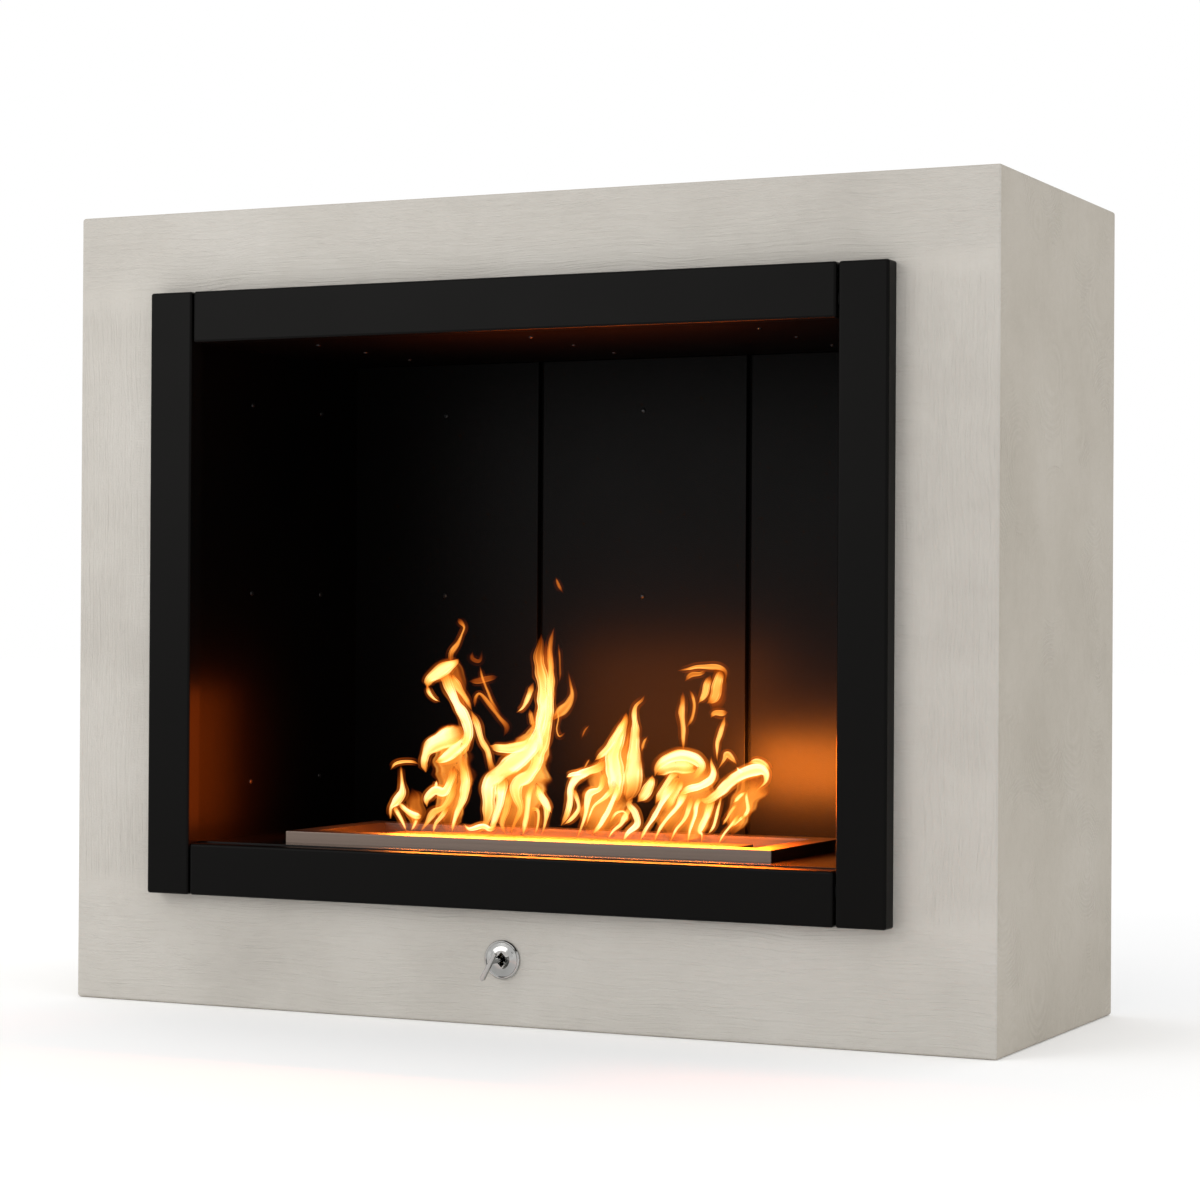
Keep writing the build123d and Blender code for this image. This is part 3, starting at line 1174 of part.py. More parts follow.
# Moving hinge halves: leaf on the door and the upper knuckle, bored for the pin
with BuildPart() as hinge_sleeves:
    for z in HINGE_ZS:
        low = z + RUN_CLEAR
        high = z + HINGE_HEIGHT / 2
        slab(
            (HINGE_X, DOOR_BACK, low),
            (HINGE_X + HINGE_LEAF + DOOR_LAP, DOOR_BACK + HINGE_LEAF_SHEET, high),
        )
        rod((HINGE_X, HINGE_Y, (low + high) / 2), HINGE_RADIUS, high - low, "z")
        rod((HINGE_X, HINGE_Y, z), HINGE_PIN + HINGE_CLEAR, 2 * HINGE_HEIGHT, "z", Mode.SUBTRACT)
save(hinge_sleeves, "hinge_sleeves")

# Magnetic catches that hold the door shut
with BuildPart() as door_magnets:
    for z in HINGE_ZS:
        low = z - MAGNET_HEIGHT / 2
        high = z + MAGNET_HEIGHT / 2
        slab(
            (DOOR_RIGHT - MAGNET_WIDTH / 2, PANEL_FRONT - MAGNET_DEPTH, low),
            (DOOR_RIGHT + MAGNET_WIDTH / 2, PANEL_FRONT, high),
        )
        slab(
            (DOOR_RIGHT - MAGNET_WIDTH / 2, PANEL_FRONT, low),
            (DOOR_RIGHT - PANEL_GAP, PANEL_BACK, high),
        )
save(door_magnets, "door_magnets")
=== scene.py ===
# %% [markdown]
# # Outdoor gas fireplace
# A cast surround with a hand-trowelled finish stands round a black steel firebox. A trim of four folded
# steel pans frames the fire, a brushed steel tray holds a long burner, and a chrome key valve sits below.
# The measured model comes in first as a frame. Everything after this adds finish, fire and light to it.

# %% Frame
import bpy
import math
from mathutils import Matrix, Vector, noise


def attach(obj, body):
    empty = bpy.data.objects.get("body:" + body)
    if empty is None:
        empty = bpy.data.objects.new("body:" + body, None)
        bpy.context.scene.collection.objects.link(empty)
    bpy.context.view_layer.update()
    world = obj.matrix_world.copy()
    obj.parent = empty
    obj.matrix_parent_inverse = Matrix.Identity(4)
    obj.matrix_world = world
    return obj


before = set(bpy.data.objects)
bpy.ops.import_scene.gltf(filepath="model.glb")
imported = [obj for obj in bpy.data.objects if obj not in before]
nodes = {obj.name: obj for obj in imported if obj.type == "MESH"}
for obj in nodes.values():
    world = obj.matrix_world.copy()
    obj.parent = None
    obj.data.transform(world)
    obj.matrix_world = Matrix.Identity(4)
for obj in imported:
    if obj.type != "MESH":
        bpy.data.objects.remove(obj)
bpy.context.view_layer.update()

# %% [markdown]
# The tools for this lesson are Blender's own Python module, its vector types and plain mathematics. The box
# The box of the measured model is kept.

# %% [markdown]
# The photograph was taken from the right at mid height with a long lens. Its straight edges give the
# camera's place and turn. A long lens keeps the uprights nearly parallel, which a short one would not.

# %% Camera
RIGHT = Vector((0.90277, 0.43010, 0.00597))
UP = Vector((-0.00271, -0.00818, 0.99996))
AHEAD = Vector((-0.43013, 0.90275, 0.00622))

camera = bpy.data.objects.new("camera", bpy.data.cameras.new("camera"))
bpy.context.collection.objects.link(camera)
turn = Matrix((RIGHT, UP, -AHEAD)).transposed()
camera.matrix_world = Matrix.Translation((2.0592, -4.2807, 0.5937)) @ turn.to_4x4()
camera.data.sensor_width = 36
camera.data.lens = 92.65
camera.data.clip_end = 100
bpy.context.scene.camera = camera
print("camera", [round(v, 2) for v in camera.location], "lens", camera.data.lens)

# %% [markdown]
# Every finish here is a small graph of shader nodes. A helper that adds a node, sets its values and joins its
# inputs keeps each graph readable. An input can be a number, a colour or another node's output.

# %% Shader graph helpers
def graph(name):
    """New material, its node tree and its principled shader."""
    material = bpy.data.materials.new(name)
    material.use_nodes = True
    return material, material.node_tree, material.node_tree.nodes["Principled BSDF"]


def node(tree, kind, settings=None, **inputs):
    """Node of a kind, with settings and inputs. An input is named, or i0, i1 and so on by its place."""
    made = tree.nodes.new("ShaderNode" + kind)
    for key, value in (settings or {}).items():
        setattr(made, key, value)
    for key, value in inputs.items():
        by_place = key[0] == "i" and key[1:].isdigit()
        socket = made.inputs[int(key[1:])] if by_place else made.inputs[key]
        if isinstance(value, bpy.types.NodeSocket):
            tree.links.new(value, socket)
        else:
            socket.default_value = value
    return made


print("a graph starts with its principled shader")

# %% [markdown]
# Most nodes of a finish do arithmetic. These helpers name the steps that come again and again: plain sums, a
# soft threshold that fades from one value to another, a mix, and a ramp from a number to a colour.

# %% Arithmetic helpers
def maths(tree, operation, *values):
    """Arithmetic on up to three numbers or outputs."""
    inputs = {f"i{place}": value for place, value in enumerate(values)}
    return node(tree, "Math", {"operation": operation}, **inputs).outputs[0]


def soft_step(tree, value, low, high, start=0.0, end=1.0):
    """Smooth change from start to end while a value goes from low to high."""
    limits = {"From Min": low, "From Max": high, "To Min": start, "To Max": end}
    return node(tree, "MapRange", {"interpolation_type": "SMOOTHSTEP"}, Value=value, **limits).outputs[0]


def mixed(tree, factor, a, b):
    """Two values mixed by a factor."""
    return node(tree, "Mix", {"data_type": "FLOAT"}, i0=factor, i2=a, i3=b).outputs[0]


def ramp(tree, factor, stops):
    """Colour ramp from (position, colour) stops."""
    made = node(tree, "ValToRGB", Fac=factor)
    elements = made.color_ramp.elements
    while len(elements) < len(stops):
        elements.new(0.5)
    for element, (position, colour) in zip(elements, stops):
        element.position = position
        element.color = (*colour, 1)
    return made.outputs["Color"]


print("arithmetic ready")

# %% [markdown]
# Grain, brushing and brush strokes are all the same noise, stretched more or less along each axis. It is read
# in object space, so it stays on the piece when the piece moves. A bump turns it into a relief.

# %% Grain helpers
def stretched(tree, scale, detail=4.0, roughness=0.55, place=None):
    """Noise stretched by a scale along each axis, in object space unless a place is given."""
    place = place or node(tree, "TexCoord").outputs["Object"]
    mapped = node(tree, "Mapping", Vector=place, Scale=scale).outputs["Vector"]
    return node(tree, "TexNoise", Vector=mapped, Scale=1.0, Detail=detail, Roughness=roughness).outputs["Fac"]


def bumped(tree, height, strength, distance):
    """Surface normal from a height."""
    return node(tree, "Bump", Height=height, Strength=strength, Distance=distance).outputs["Normal"]


def dress(name, material):
    """Give a measured piece one finish."""
    nodes[name].data.materials.clear()
    nodes[name].data.materials.append(material)


print("grain ready")

# %% [markdown]
# The surround is cast and then skimmed by hand with a pale plaster. The brush runs level along the top and
# bottom bands and upright beside the fire. Long thin noise makes the strokes, a slow sway keeps them from
# being ruled lines, and a mask from the place on the front picks which of the two ways shows.

# %% Brush strokes
BESIDE_FROM = 0.64
BESIDE_TO = 0.72
FRONT_MIDDLE = 0.63
LEVEL_FROM = 0.42
LEVEL_TO = 0.49
RAGGED_EDGE = 0.12
SWAY = 0.035

plaster, tree, shader = graph("plaster")
place = node(tree, "TexCoord").outputs["Object"]
split = node(tree, "SeparateXYZ", Vector=place)
ragged = stretched(tree, (14, 14, 40), 4)
from_middle = maths(tree, "ABSOLUTE", split.outputs["X"])
beside = soft_step(tree, maths(tree, "MULTIPLY_ADD", ragged, RAGGED_EDGE, from_middle), BESIDE_FROM, BESIDE_TO)
rise = maths(tree, "ABSOLUTE", maths(tree, "SUBTRACT", split.outputs["Z"], FRONT_MIDDLE))
on_side_band = maths(tree, "MULTIPLY", beside, soft_step(tree, rise, LEVEL_FROM, LEVEL_TO, 1.0, 0.0))
sway = node(tree, "TexNoise", Vector=place, Scale=4.0, Detail=2.0).outputs["Color"]
swayed = node(
    tree, "VectorMath", {"operation": "MULTIPLY_ADD"}, i0=sway, i1=(SWAY, SWAY, SWAY), i2=place,
).outputs[0]
level_strokes = stretched(tree, (7, 7, 300), 6, 0.68, swayed)
upright_strokes = stretched(tree, (300, 7, 7), 6, 0.68, swayed)
strokes = mixed(tree, on_side_band, level_strokes, upright_strokes)
print("strokes turn upright beyond", BESIDE_FROM, "m from the middle")

# %% [markdown]
# On the sides and the top of the block a round trowel leaves fans of thin ridges. They are rings round the
# points of a Voronoi pattern, made by a sine of the distance. A patchy mask shows a fan only here and there,
# over fine grit. Which faces are sides comes from the surface's own normal.

# %% Trowel arcs
FACING_FRONT = 0.7
RIDGES_PER_SWEEP = 150.0
RIDGE_HEIGHT = 0.20

facing = node(tree, "SeparateXYZ", Vector=node(tree, "NewGeometry").outputs["Normal"])
on_flank = maths(tree, "LESS_THAN", maths(tree, "ABSOLUTE", facing.outputs["Y"]), FACING_FRONT)
sweep = node(tree, "TexVoronoi", Vector=swayed, Scale=6.5).outputs["Distance"]
ridges = maths(tree, "SINE", maths(tree, "MULTIPLY_ADD", sweep, RIDGES_PER_SWEEP, ragged))
showing = soft_step(tree, stretched(tree, (9, 9, 9), 3, 0.5), 0.46, 0.64, 0.0, RIDGE_HEIGHT)
grit = stretched(tree, (60, 60, 60), 6, 0.7)
arcs = maths(tree, "MULTIPLY_ADD", ridges, showing, grit)
relief = mixed(tree, on_flank, strokes, arcs)
print("fans of ridges about", round(1 / 6.5, 2), "m apart")

# %% [markdown]
# The colour of dry plaster changes slowly from place to place, and a little with the strokes, darker in their
# hollows. The sides and top are painted darker and warmer than the front, as painted shade. Fine specks finish
# the relief.

# %% Plaster
STROKE_TINT = 0.26
SPECK_HEIGHT = 0.18
FRONT_TONES = [(0.42, (0.458, 0.433, 0.394)), (0.63, (0.512, 0.487, 0.445)), (0.86, (0.550, 0.526, 0.486))]
# Tones for the sides and top: the front's plaster painted darker and warmer, as painted shade.
FLANK_PAINTED_SHADE_TONES = [(0.42, (0.412, 0.376, 0.320)), (0.63, (0.455, 0.418, 0.360)), (0.86, (0.492, 0.455, 0.398))]

tone = maths(tree, "MULTIPLY_ADD", relief, STROKE_TINT, stretched(tree, (3.2, 3.2, 3.2), 4, 0.6))
# The sides and top take the darker, warmer ramp: painted shade.
colour = node(
    tree, "Mix", {"data_type": "RGBA"}, i0=on_flank,
    i6=ramp(tree, tone, FRONT_TONES), i7=ramp(tree, tone, FLANK_PAINTED_SHADE_TONES),
).outputs[2]
tree.links.new(colour, shader.inputs["Base Color"])
shader.inputs["Roughness"].default_value = 0.82
shader.inputs["Specular IOR Level"].default_value = 0.28
height = maths(tree, "MULTIPLY_ADD", stretched(tree, (420, 420, 420), 2, 0.5), SPECK_HEIGHT, relief)
tree.links.new(bumped(tree, height, 0.9, 0.0030), shader.inputs["Normal"])
dress("surround_shell", plaster)
print("plaster on the surround")

# %% [markdown]
# All the sheet metal that faces the room is black. The trim has a smooth satin powder coat, while the liners
# have a fine sandy one that breaks the firelight into grains. The floor of the firebox is glossier, and the
# chassis inside has a plain shop coat. All are dark paint with a little bump, so one helper makes them with
# different grain, gloss and strength.

# %% Black coatings
COAT_SPREAD = 0.05
COAT_RELIEF = 0.0004


def coating(name, colour, roughness, grain, strength, specular=0.5):
    """Powder coat with a fine orange-peel or sandy grain."""
    material, tree, shader = graph(name)
    shader.inputs["Base Color"].default_value = (*colour, 1)
    shader.inputs["Specular IOR Level"].default_value = specular
    peel = stretched(tree, (grain, grain, grain), 3, 0.6)
    shade = stretched(tree, (6, 6, 6), 3, 0.5)
    gloss = mixed(tree, shade, roughness - COAT_SPREAD, roughness + COAT_SPREAD)
    tree.links.new(gloss, shader.inputs["Roughness"])
    tree.links.new(bumped(tree, peel, strength, COAT_RELIEF), shader.inputs["Normal"])
    return material


trim_black = coating("trim_black", (0.0022, 0.0020, 0.0018), 0.32, 900, 0.08, 0.055)
liner_black = coating("liner_black", (0.0010, 0.0008, 0.0007), 0.40, 480, 0.75, 0.06)
floor_black = coating("floor_black", (0.0026, 0.0022, 0.0019), 0.20, 520, 0.10, 0.22)
screw_black = coating("screw_black", (0.006, 0.006, 0.006), 0.30, 700, 0.05, 0.30)
chassis_black = coating("chassis_black", (0.020, 0.020, 0.021), 0.42, 700, 0.20)
print("five black coatings")

# %% [markdown]
# Bare metals differ by colour, gloss and grain direction. Brushing is noise stretched along the tray, which
# both roughens the metal and tilts its surface in long thin lines.

# %% Metals
GRAIN_SHADE = 0.86
GRAIN_RELIEF = 0.0002


def metal(name, colour, roughness, scale, strength, spread=0.08):
    """Bare metal with grain stretched by a scale."""
    material, tree, shader = graph(name)
    shader.inputs["Metallic"].default_value = 1.0
    grain = stretched(tree, scale, 4, 0.6)
    dark = tuple(GRAIN_SHADE * c for c in colour)
    tree.links.new(ramp(tree, grain, [(0.3, dark), (0.7, colour)]), shader.inputs["Base Color"])
    gloss = mixed(tree, grain, roughness - spread, roughness + spread)
    tree.links.new(gloss, shader.inputs["Roughness"])
    tree.links.new(bumped(tree, grain, strength, GRAIN_RELIEF), shader.inputs["Normal"])
    return material


brushed = metal("brushed_steel", (0.175, 0.134, 0.112), 0.36, (4, 260, 320), 0.25)
zinc = metal("zinc_sheet", (0.56, 0.57, 0.58), 0.42, (22, 22, 22), 0.10, 0.10)
plated = metal("plated_steel", (0.62, 0.61, 0.57), 0.30, (300, 300, 300), 0.12)
chrome = metal("chrome", (0.42, 0.42, 0.41), 0.10, (40, 40, 40), 0.02, 0.02)
brass = metal("brass", (0.76, 0.56, 0.26), 0.28, (260, 260, 260), 0.10)
casting = metal("regulator_casting", (0.60, 0.61, 0.62), 0.48, (500, 500, 500), 0.35)
print("six metals")

# %% [markdown]
# The remaining finishes are plain ones: mineral board, hose cover, black plastic and a yellow lever. A little
# change of shade with the grain keeps them from looking like flat paint.

# %% Other finishes
LIGHT_GRAIN = 1.12
PLAIN_RELIEF = 0.0005


def plain(name, colour, roughness, scale, strength):
    """Dull finish with a fine relief."""
    material, tree, shader = graph(name)
    grain = stretched(tree, scale, 4, 0.6)
    light = tuple(min(1, LIGHT_GRAIN * c) for c in colour)
    tree.links.new(ramp(tree, grain, [(0.3, colour), (0.75, light)]), shader.inputs["Base Color"])
    shader.inputs["Roughness"].default_value = roughness
    tree.links.new(bumped(tree, grain, strength, PLAIN_RELIEF), shader.inputs["Normal"])
    return material


board = plain("mineral_board", (0.66, 0.63, 0.56), 0.92, (120, 120, 120), 0.4)
hose_cover = plain("hose_cover", (0.035, 0.035, 0.037), 0.55, (200, 200, 200), 0.3)
black_plastic = plain("black_plastic", (0.014, 0.014, 0.015), 0.5, (400, 400, 400), 0.2)
yellow = plain("yellow_lever", (0.78, 0.47, 0.02), 0.38, (300, 300, 300), 0.1)
print("four plain finishes")

# %% [markdown]
# Each measured piece now gets its finish. A table of finish and pieces is easier to check than one line for
# each, and the print shows at once if a piece was forgotten.

# %% Finishes on the pieces
finishes = [
    (trim_black, "trim_stile_left trim_stile_right trim_rail_top trim_rail_bottom trim_corner_clips"),
    (liner_black, "liner_left liner_right liner_back_left liner_back_centre liner_back_right liner_backing "
                  "liner_ceiling"),
    (floor_black, "liner_floor"),
    (brushed, "burner_tray burner_plenum burner_lid burner_brackets"),
    (zinc, "firebox_casing back_panel service_door hinge_pintles hinge_sleeves surround_cleats "
           "regulator_stand hose_clips"),
    (screw_black, "liner_screws"),
    (plated, "back_panel_screws wall_fixing_inserts feed_locknut sleeve_locknut hose_nuts "
             "valve_sleeve burner_elbow mixer_tube air_shutter"),
    (chassis_black, "chassis_posts chassis_rails firebox_bearers"),
    (chrome, "valve_escutcheon valve_key"),
    (brass, "valve_body valve_end_cap valve_plug gas_orifice gas_inlet inlet_locknut isolation_valve_body "
            "isolation_ball"),
    (board, "insulation_left insulation_right insulation_back insulation_top insulation_floor"),
    (hose_cover, "supply_hose burner_hose"),
    (casting, "gas_regulator"),
    (yellow, "isolation_lever"),
    (black_plastic, "regulator_cap door_magnets"),
]
finished = {"surround_shell"}
for material, names in finishes:
    for name in names.split():
        dress(name, material)
        finished.add(name)
print("unfinished pieces:", sorted(set(nodes) - finished))

# %% [markdown]
# A gas flame is a thin glowing sheet that hardly hides what is behind it, so where tongues overlap they add up
# to yellow-white. Each point of a tongue stores how hot it is, and the material turns that heat into colour
# and cover: dark orange and almost clear when cool, pale yellow when hot. The cover stays low and the glow
# strong, so that layers add. A volume would be softer, but a surface keeps the crisp rims of the photograph.

# %% Flame material
FULL_HEAT = 0.95
MOST_COVER = 0.42
FLAME_COLOURS = [
    (0.0, (0.40, 0.035, 0.001)), (0.18, (0.85, 0.14, 0.008)), (0.36, (1.0, 0.29, 0.030)),
    (0.55, (1.0, 0.44, 0.085)), (0.78, (1.0, 0.60, 0.21)), (1.0, (1.0, 0.79, 0.47)),
]

flame, tree, shader = graph("flame")
heat = node(tree, "Attribute", {"attribute_name": "fire_heat"}).outputs["Fac"]
shader.inputs["Base Color"].default_value = (0, 0, 0, 1)
shader.inputs["Specular IOR Level"].default_value = 0
shader.inputs["Roughness"].default_value = 1
shader.inputs["Emission Strength"].default_value = 3.1
tree.links.new(ramp(tree, heat, FLAME_COLOURS), shader.inputs["Emission Color"])
tree.links.new(soft_step(tree, heat, 0.0, FULL_HEAT, 0.0, MOST_COVER), shader.inputs["Alpha"])
flame.surface_render_method = "BLENDED"
print("flame material with", len(FLAME_COLOURS), "colours")

# %% [markdown]
# The tongues follow the photograph, from the small one at the left to the curl at the right. Each has its
# depth from the burner's centre line and its heat, then its points: across, height and half width, all in
# millimetres. The last eight are wide, cool veils behind the others, which fill the gaps with a soft glow.

# %% Flame tongues
BURNER_LINE = -0.090
TONGUES = [
    (-12, 0.95, [(-288, 283, 2.9), (-288, 299, 4.7), (-280, 309, 8.8), (-269, 322, 8.2), (-269, 336, 4.7),
        (-271, 354, 2.6), (-271, 365, 3.5)]),
    (-12, 0.62, [(-288, 359, 1.2), (-280, 368, 4.1), (-265, 372, 4.7), (-249, 372, 3.5), (-239, 368, 1.5)]),
    (-8, 0.95, [(-277, 309, 5.9), (-261, 296, 6.5), (-244, 288, 8.8), (-235, 290, 2.3)]),
    (-14, 0.75, [(-260, 264, 1.2), (-266, 277, 2.9), (-275, 293, 4.1), (-282, 305, 5.3)]),
    (-10, 0.75, [(-254, 264, 1.2), (-246, 277, 3.5), (-242, 286, 4.1)]),
    (-6, 0.95, [(-229, 303, 2.3), (-228, 316, 7.6), (-213, 329, 10), (-197, 327, 10.5), (-186, 347, 9.9),
        (-181, 367, 11.7)]),
    (-8, 0.95, [(-212, 329, 5.9), (-211, 338, 3.5), (-210, 345, 1.2)]),
    (4, 0.62, [(-246, 262, 1.5), (-235, 277, 5.3), (-222, 294, 8.8), (-204, 303, 7.6), (-191, 321, 7.6),
        (-185, 347, 8.8), (-180, 372, 10)]),
    (-4, 0.8, [(-219, 262, 1.5), (-214, 276, 4.1), (-201, 292, 5.3), (-192, 307, 5.9)]),
    (-10, 0.85, [(-182, 265, 1.5), (-179, 279, 4.1), (-172, 299, 6.4), (-163, 320, 9.9), (-160, 342, 10.5),
        (-163, 365, 9.3), (-165, 385, 8.7)]),
    (6, 0.9, [(-235, 356, 7.1), (-238, 374, 8.8), (-228, 394, 14.7), (-207, 406, 20.6), (-185, 415, 22.3),
        (-170, 426, 14.6)]),
    (-2, 1.0, [(-216, 372, 5.9), (-200, 378, 10.5), (-184, 390, 12.9), (-168, 404, 11.7),
        (-159, 421, 9.9)]),
    (0, 1.0, [(-170, 384, 8.8), (-162, 404, 9.9), (-158, 424, 8.8), (-166, 444, 10.5), (-179, 463, 9.9),
        (-190, 483, 10), (-198, 500, 11.7), (-203, 509, 14.7)]),
    (-6, 0.82, [(-229, 486, 4.1), (-223, 500, 11.7), (-208, 511, 15.2), (-192, 520, 12.9), (-178, 527, 6.4),
        (-173, 532, 1.5)]),
    (-4, 0.75, [(-206, 465, 0.9), (-217, 470, 2.6), (-227, 480, 4.7), (-230, 491, 4.1)]),
    (8, 0.6, [(-157, 452, 2.9), (-167, 469, 6.4), (-180, 486, 7.6), (-190, 500, 7), (-195, 509, 5.3)]),
    (2, 0.5, [(-192, 526, 5.3), (-192, 540, 5.3), (-182, 554, 4.4), (-174, 569, 2.6), (-169, 580, 2.9),
        (-174, 588, 5.9), (-178, 594, 3.5)]),
    (4, 0.8, [(-157, 452, 4.7), (-145, 430, 5.8), (-139, 407, 6.4), (-129, 391, 7), (-123, 371, 7),
        (-116, 354, 9.9)]),
    (12, 0.42, [(-156, 458, 2.9), (-153, 472, 3.5), (-145, 478, 2.9), (-131, 464, 4.7), (-114, 442, 4.1),
        (-102, 428, 5.8), (-108, 412, 1.5)]),
    (14, 0.45, [(-148, 520, 1.5), (-143, 503, 2.9), (-132, 481, 3.5), (-125, 464, 3.5), (-112, 444, 2.9)]),
    (16, 0.25, [(-168, 497, 2.9), (-152, 498, 6.4), (-133, 502, 6.4), (-117, 505, 2.3)]),
    (16, 0.22, [(-162, 543, 2.3), (-162, 532, 4.7), (-149, 529, 4.1), (-144, 546, 1.5)]),
    (10, 0.34, [(-16, 657, 1.2), (-12, 646, 3.5), (-4, 632, 1.2)]),
    (0, 0.95, [(-165, 279, 1.8), (-155, 271, 4.1), (-133, 276, 6.4), (-120, 272, 7), (-107, 278, 4.1)]),
    (0, 0.92, [(-144, 263, 1.5), (-129, 280, 7), (-123, 300, 12.8), (-123, 323, 15.7), (-120, 343, 15.7),
        (-108, 355, 16.3), (-92, 369, 18), (-76, 378, 19.1), (-57, 390, 15.6), (-45, 407, 12.7),
        (-37, 429, 11.6), (-31, 455, 12.1), (-31, 477, 13.3), (-33, 500, 13.3), (-39, 519, 12.7),
        (-42, 536, 10.4), (-39, 553, 7.5), (-37, 570, 4)]),
    (-10, 0.85, [(-115, 400, 4.1), (-100, 396, 8.7), (-81, 396, 11), (-62, 400, 11.6), (-46, 411, 9.2),
        (-37, 427, 8.1)]),
    (8, 0.8, [(-92, 262, 1.5), (-81, 287, 4.6), (-75, 304, 7), (-81, 324, 11.6), (-77, 344, 14.5),
        (-61, 355, 15.7), (-49, 370, 12.7), (-42, 390, 12.7), (-33, 407, 11.6), (-29, 427, 9.8),
        (-26, 449, 11), (-24, 472, 9.8), (-22, 494, 8.1), (-23, 516, 6.9), (-25, 536, 5.8), (-23, 556, 5.8),
        (-19, 573, 2.3), (-16, 581, 0.9)]),
    (-14, 1.0, [(-31, 385, 5.2), (-30, 408, 6.3), (-35, 427, 5.2), (-29, 452, 5.8), (-23, 478, 5.2),
        (-26, 503, 4.6)]),
    (-6, 0.9, [(-63, 263, 1.4), (-58, 283, 4.6), (-54, 306, 5.2), (-51, 328, 6.4), (-45, 348, 7.5)]),
    (-8, 0.8, [(-31, 267, 1.4), (-23, 287, 4.6), (-20, 307, 6.9), (-31, 326, 8.6), (-40, 346, 8.1)]),
    (-4, 0.95, [(-15, 300, 1.7), (-22, 311, 6.3), (-33, 327, 6.9), (-41, 345, 6.3)]),
    (2, 0.7, [(-45, 264, 1.2), (-40, 283, 2.9), (-42, 303, 4), (-55, 305, 5.8)]),
    (-2, 0.8, [(-74, 451, 1.2), (-63, 460, 4.1), (-54, 477, 5.8), (-46, 497, 6.9)]),
    (12, 0.45, [(-54, 426, 5.8), (-57, 443, 5.2), (-61, 457, 3.5)]),
    (10, 0.5, [(-25, 438, 4), (-9, 451, 9.2), (5, 465, 8.6), (12, 480, 4.6), (9, 497, 2.6), (3, 517, 0.9)]),
    (6, 0.55, [(-11, 461, 1.4), (-9, 444, 1.7), (-12, 427, 2), (-7, 416, 2.9), (3, 422, 3.5)]),
    (6, 0.35, [(44, 434, 0.9), (36, 425, 2.3), (30, 411, 1.1)]),
    (12, 0.3, [(-13, 556, 2.3), (-9, 533, 2.3), (-8, 511, 2.3), (-10, 494, 1.2)]),
    (-4, 0.95, [(-118, 267, 4.1), (-111, 290, 7.6), (-105, 313, 9.9), (-102, 335, 11.6), (-99, 358, 11.6)]),
    (6, 0.55, [(-97, 264, 1.5), (-102, 281, 5.2), (-95, 301, 7.6), (-92, 324, 8.7), (-85, 346, 9.9)]),
    (0, 0.95, [(-1, 281, 3.8), (9, 299, 5.7), (14, 320, 6.2), (16, 340, 7.1), (26, 355, 8.1),
        (43, 364, 8.5), (64, 372, 10.4), (76, 386, 12.8)]),
    (-8, 1.0, [(10, 355, 1.9), (19, 359, 4.3), (32, 361, 5.7), (47, 365, 5.7)]),
    (4, 0.8, [(1, 282, 1.9), (16, 292, 3.8), (28, 308, 4.3), (24, 327, 4.3), (17, 340, 4.3)]),
    (2, 0.9, [(26, 262, 1.2), (34, 283, 3.3), (39, 302, 4.3), (42, 318, 7.1), (48, 332, 7.6),
        (64, 339, 6.2), (69, 356, 7.1), (70, 372, 8.1)]),
    (-6, 0.85, [(46, 283, 1.2), (52, 300, 2.4), (59, 314, 3.3), (75, 326, 5.2), (85, 338, 6.1),
        (90, 352, 7.1)]),
    (6, 0.9, [(79, 317, 8.5), (87, 335, 13.3), (89, 354, 15.6), (85, 372, 18), (84, 390, 15.6),
        (92, 409, 13.2), (100, 428, 9.5), (105, 446, 5.2), (106, 455, 1.4)]),
    (10, 0.86, [(105, 322, 11.8), (113, 341, 18), (115, 359, 20.3), (117, 377, 15.6), (117, 396, 11.3),
        (117, 414, 9.4), (117, 432, 7.6), (114, 451, 6.1), (117, 464, 4.3), (127, 473, 3.3),
        (132, 481, 0.9)]),
    (4, 0.9, [(126, 321, 8), (138, 335, 10.8), (146, 351, 8), (149, 362, 3.3)]),
    (12, 0.55, [(126, 396, 4.2), (131, 410, 3.3), (138, 420, 0.7)]),
    (-4, 0.85, [(57, 381, 1.4), (68, 390, 5.7), (81, 404, 7.1), (93, 423, 7.6), (103, 439, 5.2),
        (111, 454, 1.4)]),
    (2, 0.5, [(35, 367, 1.9), (42, 378, 2.4), (46, 384, 0.7)]),
    (-8, 1.0, [(57, 271, 3.3), (68, 285, 5.2), (78, 301, 4.7), (88, 320, 5.2), (96, 339, 5.7),
        (98, 362, 4.7)]),
    (-4, 0.9, [(79, 262, 0.9), (88, 276, 2.8), (102, 288, 4.7), (109, 302, 6.1), (119, 319, 9.4)]),
    (-10, 1.0, [(107, 261, 1.2), (115, 275, 4.7), (130, 289, 7), (127, 305, 7), (118, 318, 7.1),
        (124, 330, 6.1)]),
    (-6, 1.0, [(132, 261, 1.2), (143, 281, 3.8), (155, 299, 4.2), (165, 315, 5.6), (175, 332, 7.5),
        (188, 348, 8.4), (195, 364, 7)]),
    (-4, 0.95, [(155, 260, 1.2), (165, 281, 3.3), (179, 300, 4.2), (193, 316, 5.6), (202, 332, 7),
        (207, 342, 7)]),
    (2, 0.85, [(81, 289, 2.4), (91, 303, 3.3), (104, 306, 2.8), (109, 295, 2.8), (99, 287, 1.9)]),
    (6, 0.95, [(152, 360, 4.2), (158, 376, 9.4), (174, 387, 12.2), (194, 392, 12.7), (214, 388, 12.6),
        (227, 377, 9.3), (221, 365, 7.9), (212, 355, 3.3)]),
    (12, 0.8, [(154, 362, 9.4), (169, 373, 14.1), (189, 377, 17.8), (209, 377, 15.5), (222, 375, 8.4)]),
    (4, 0.75, [(153, 319, 6.1), (166, 340, 7), (179, 359, 8), (193, 373, 9.4)]),
    (8, 0.7, [(172, 310, 7), (181, 331, 8), (191, 345, 7), (196, 357, 4.7)]),
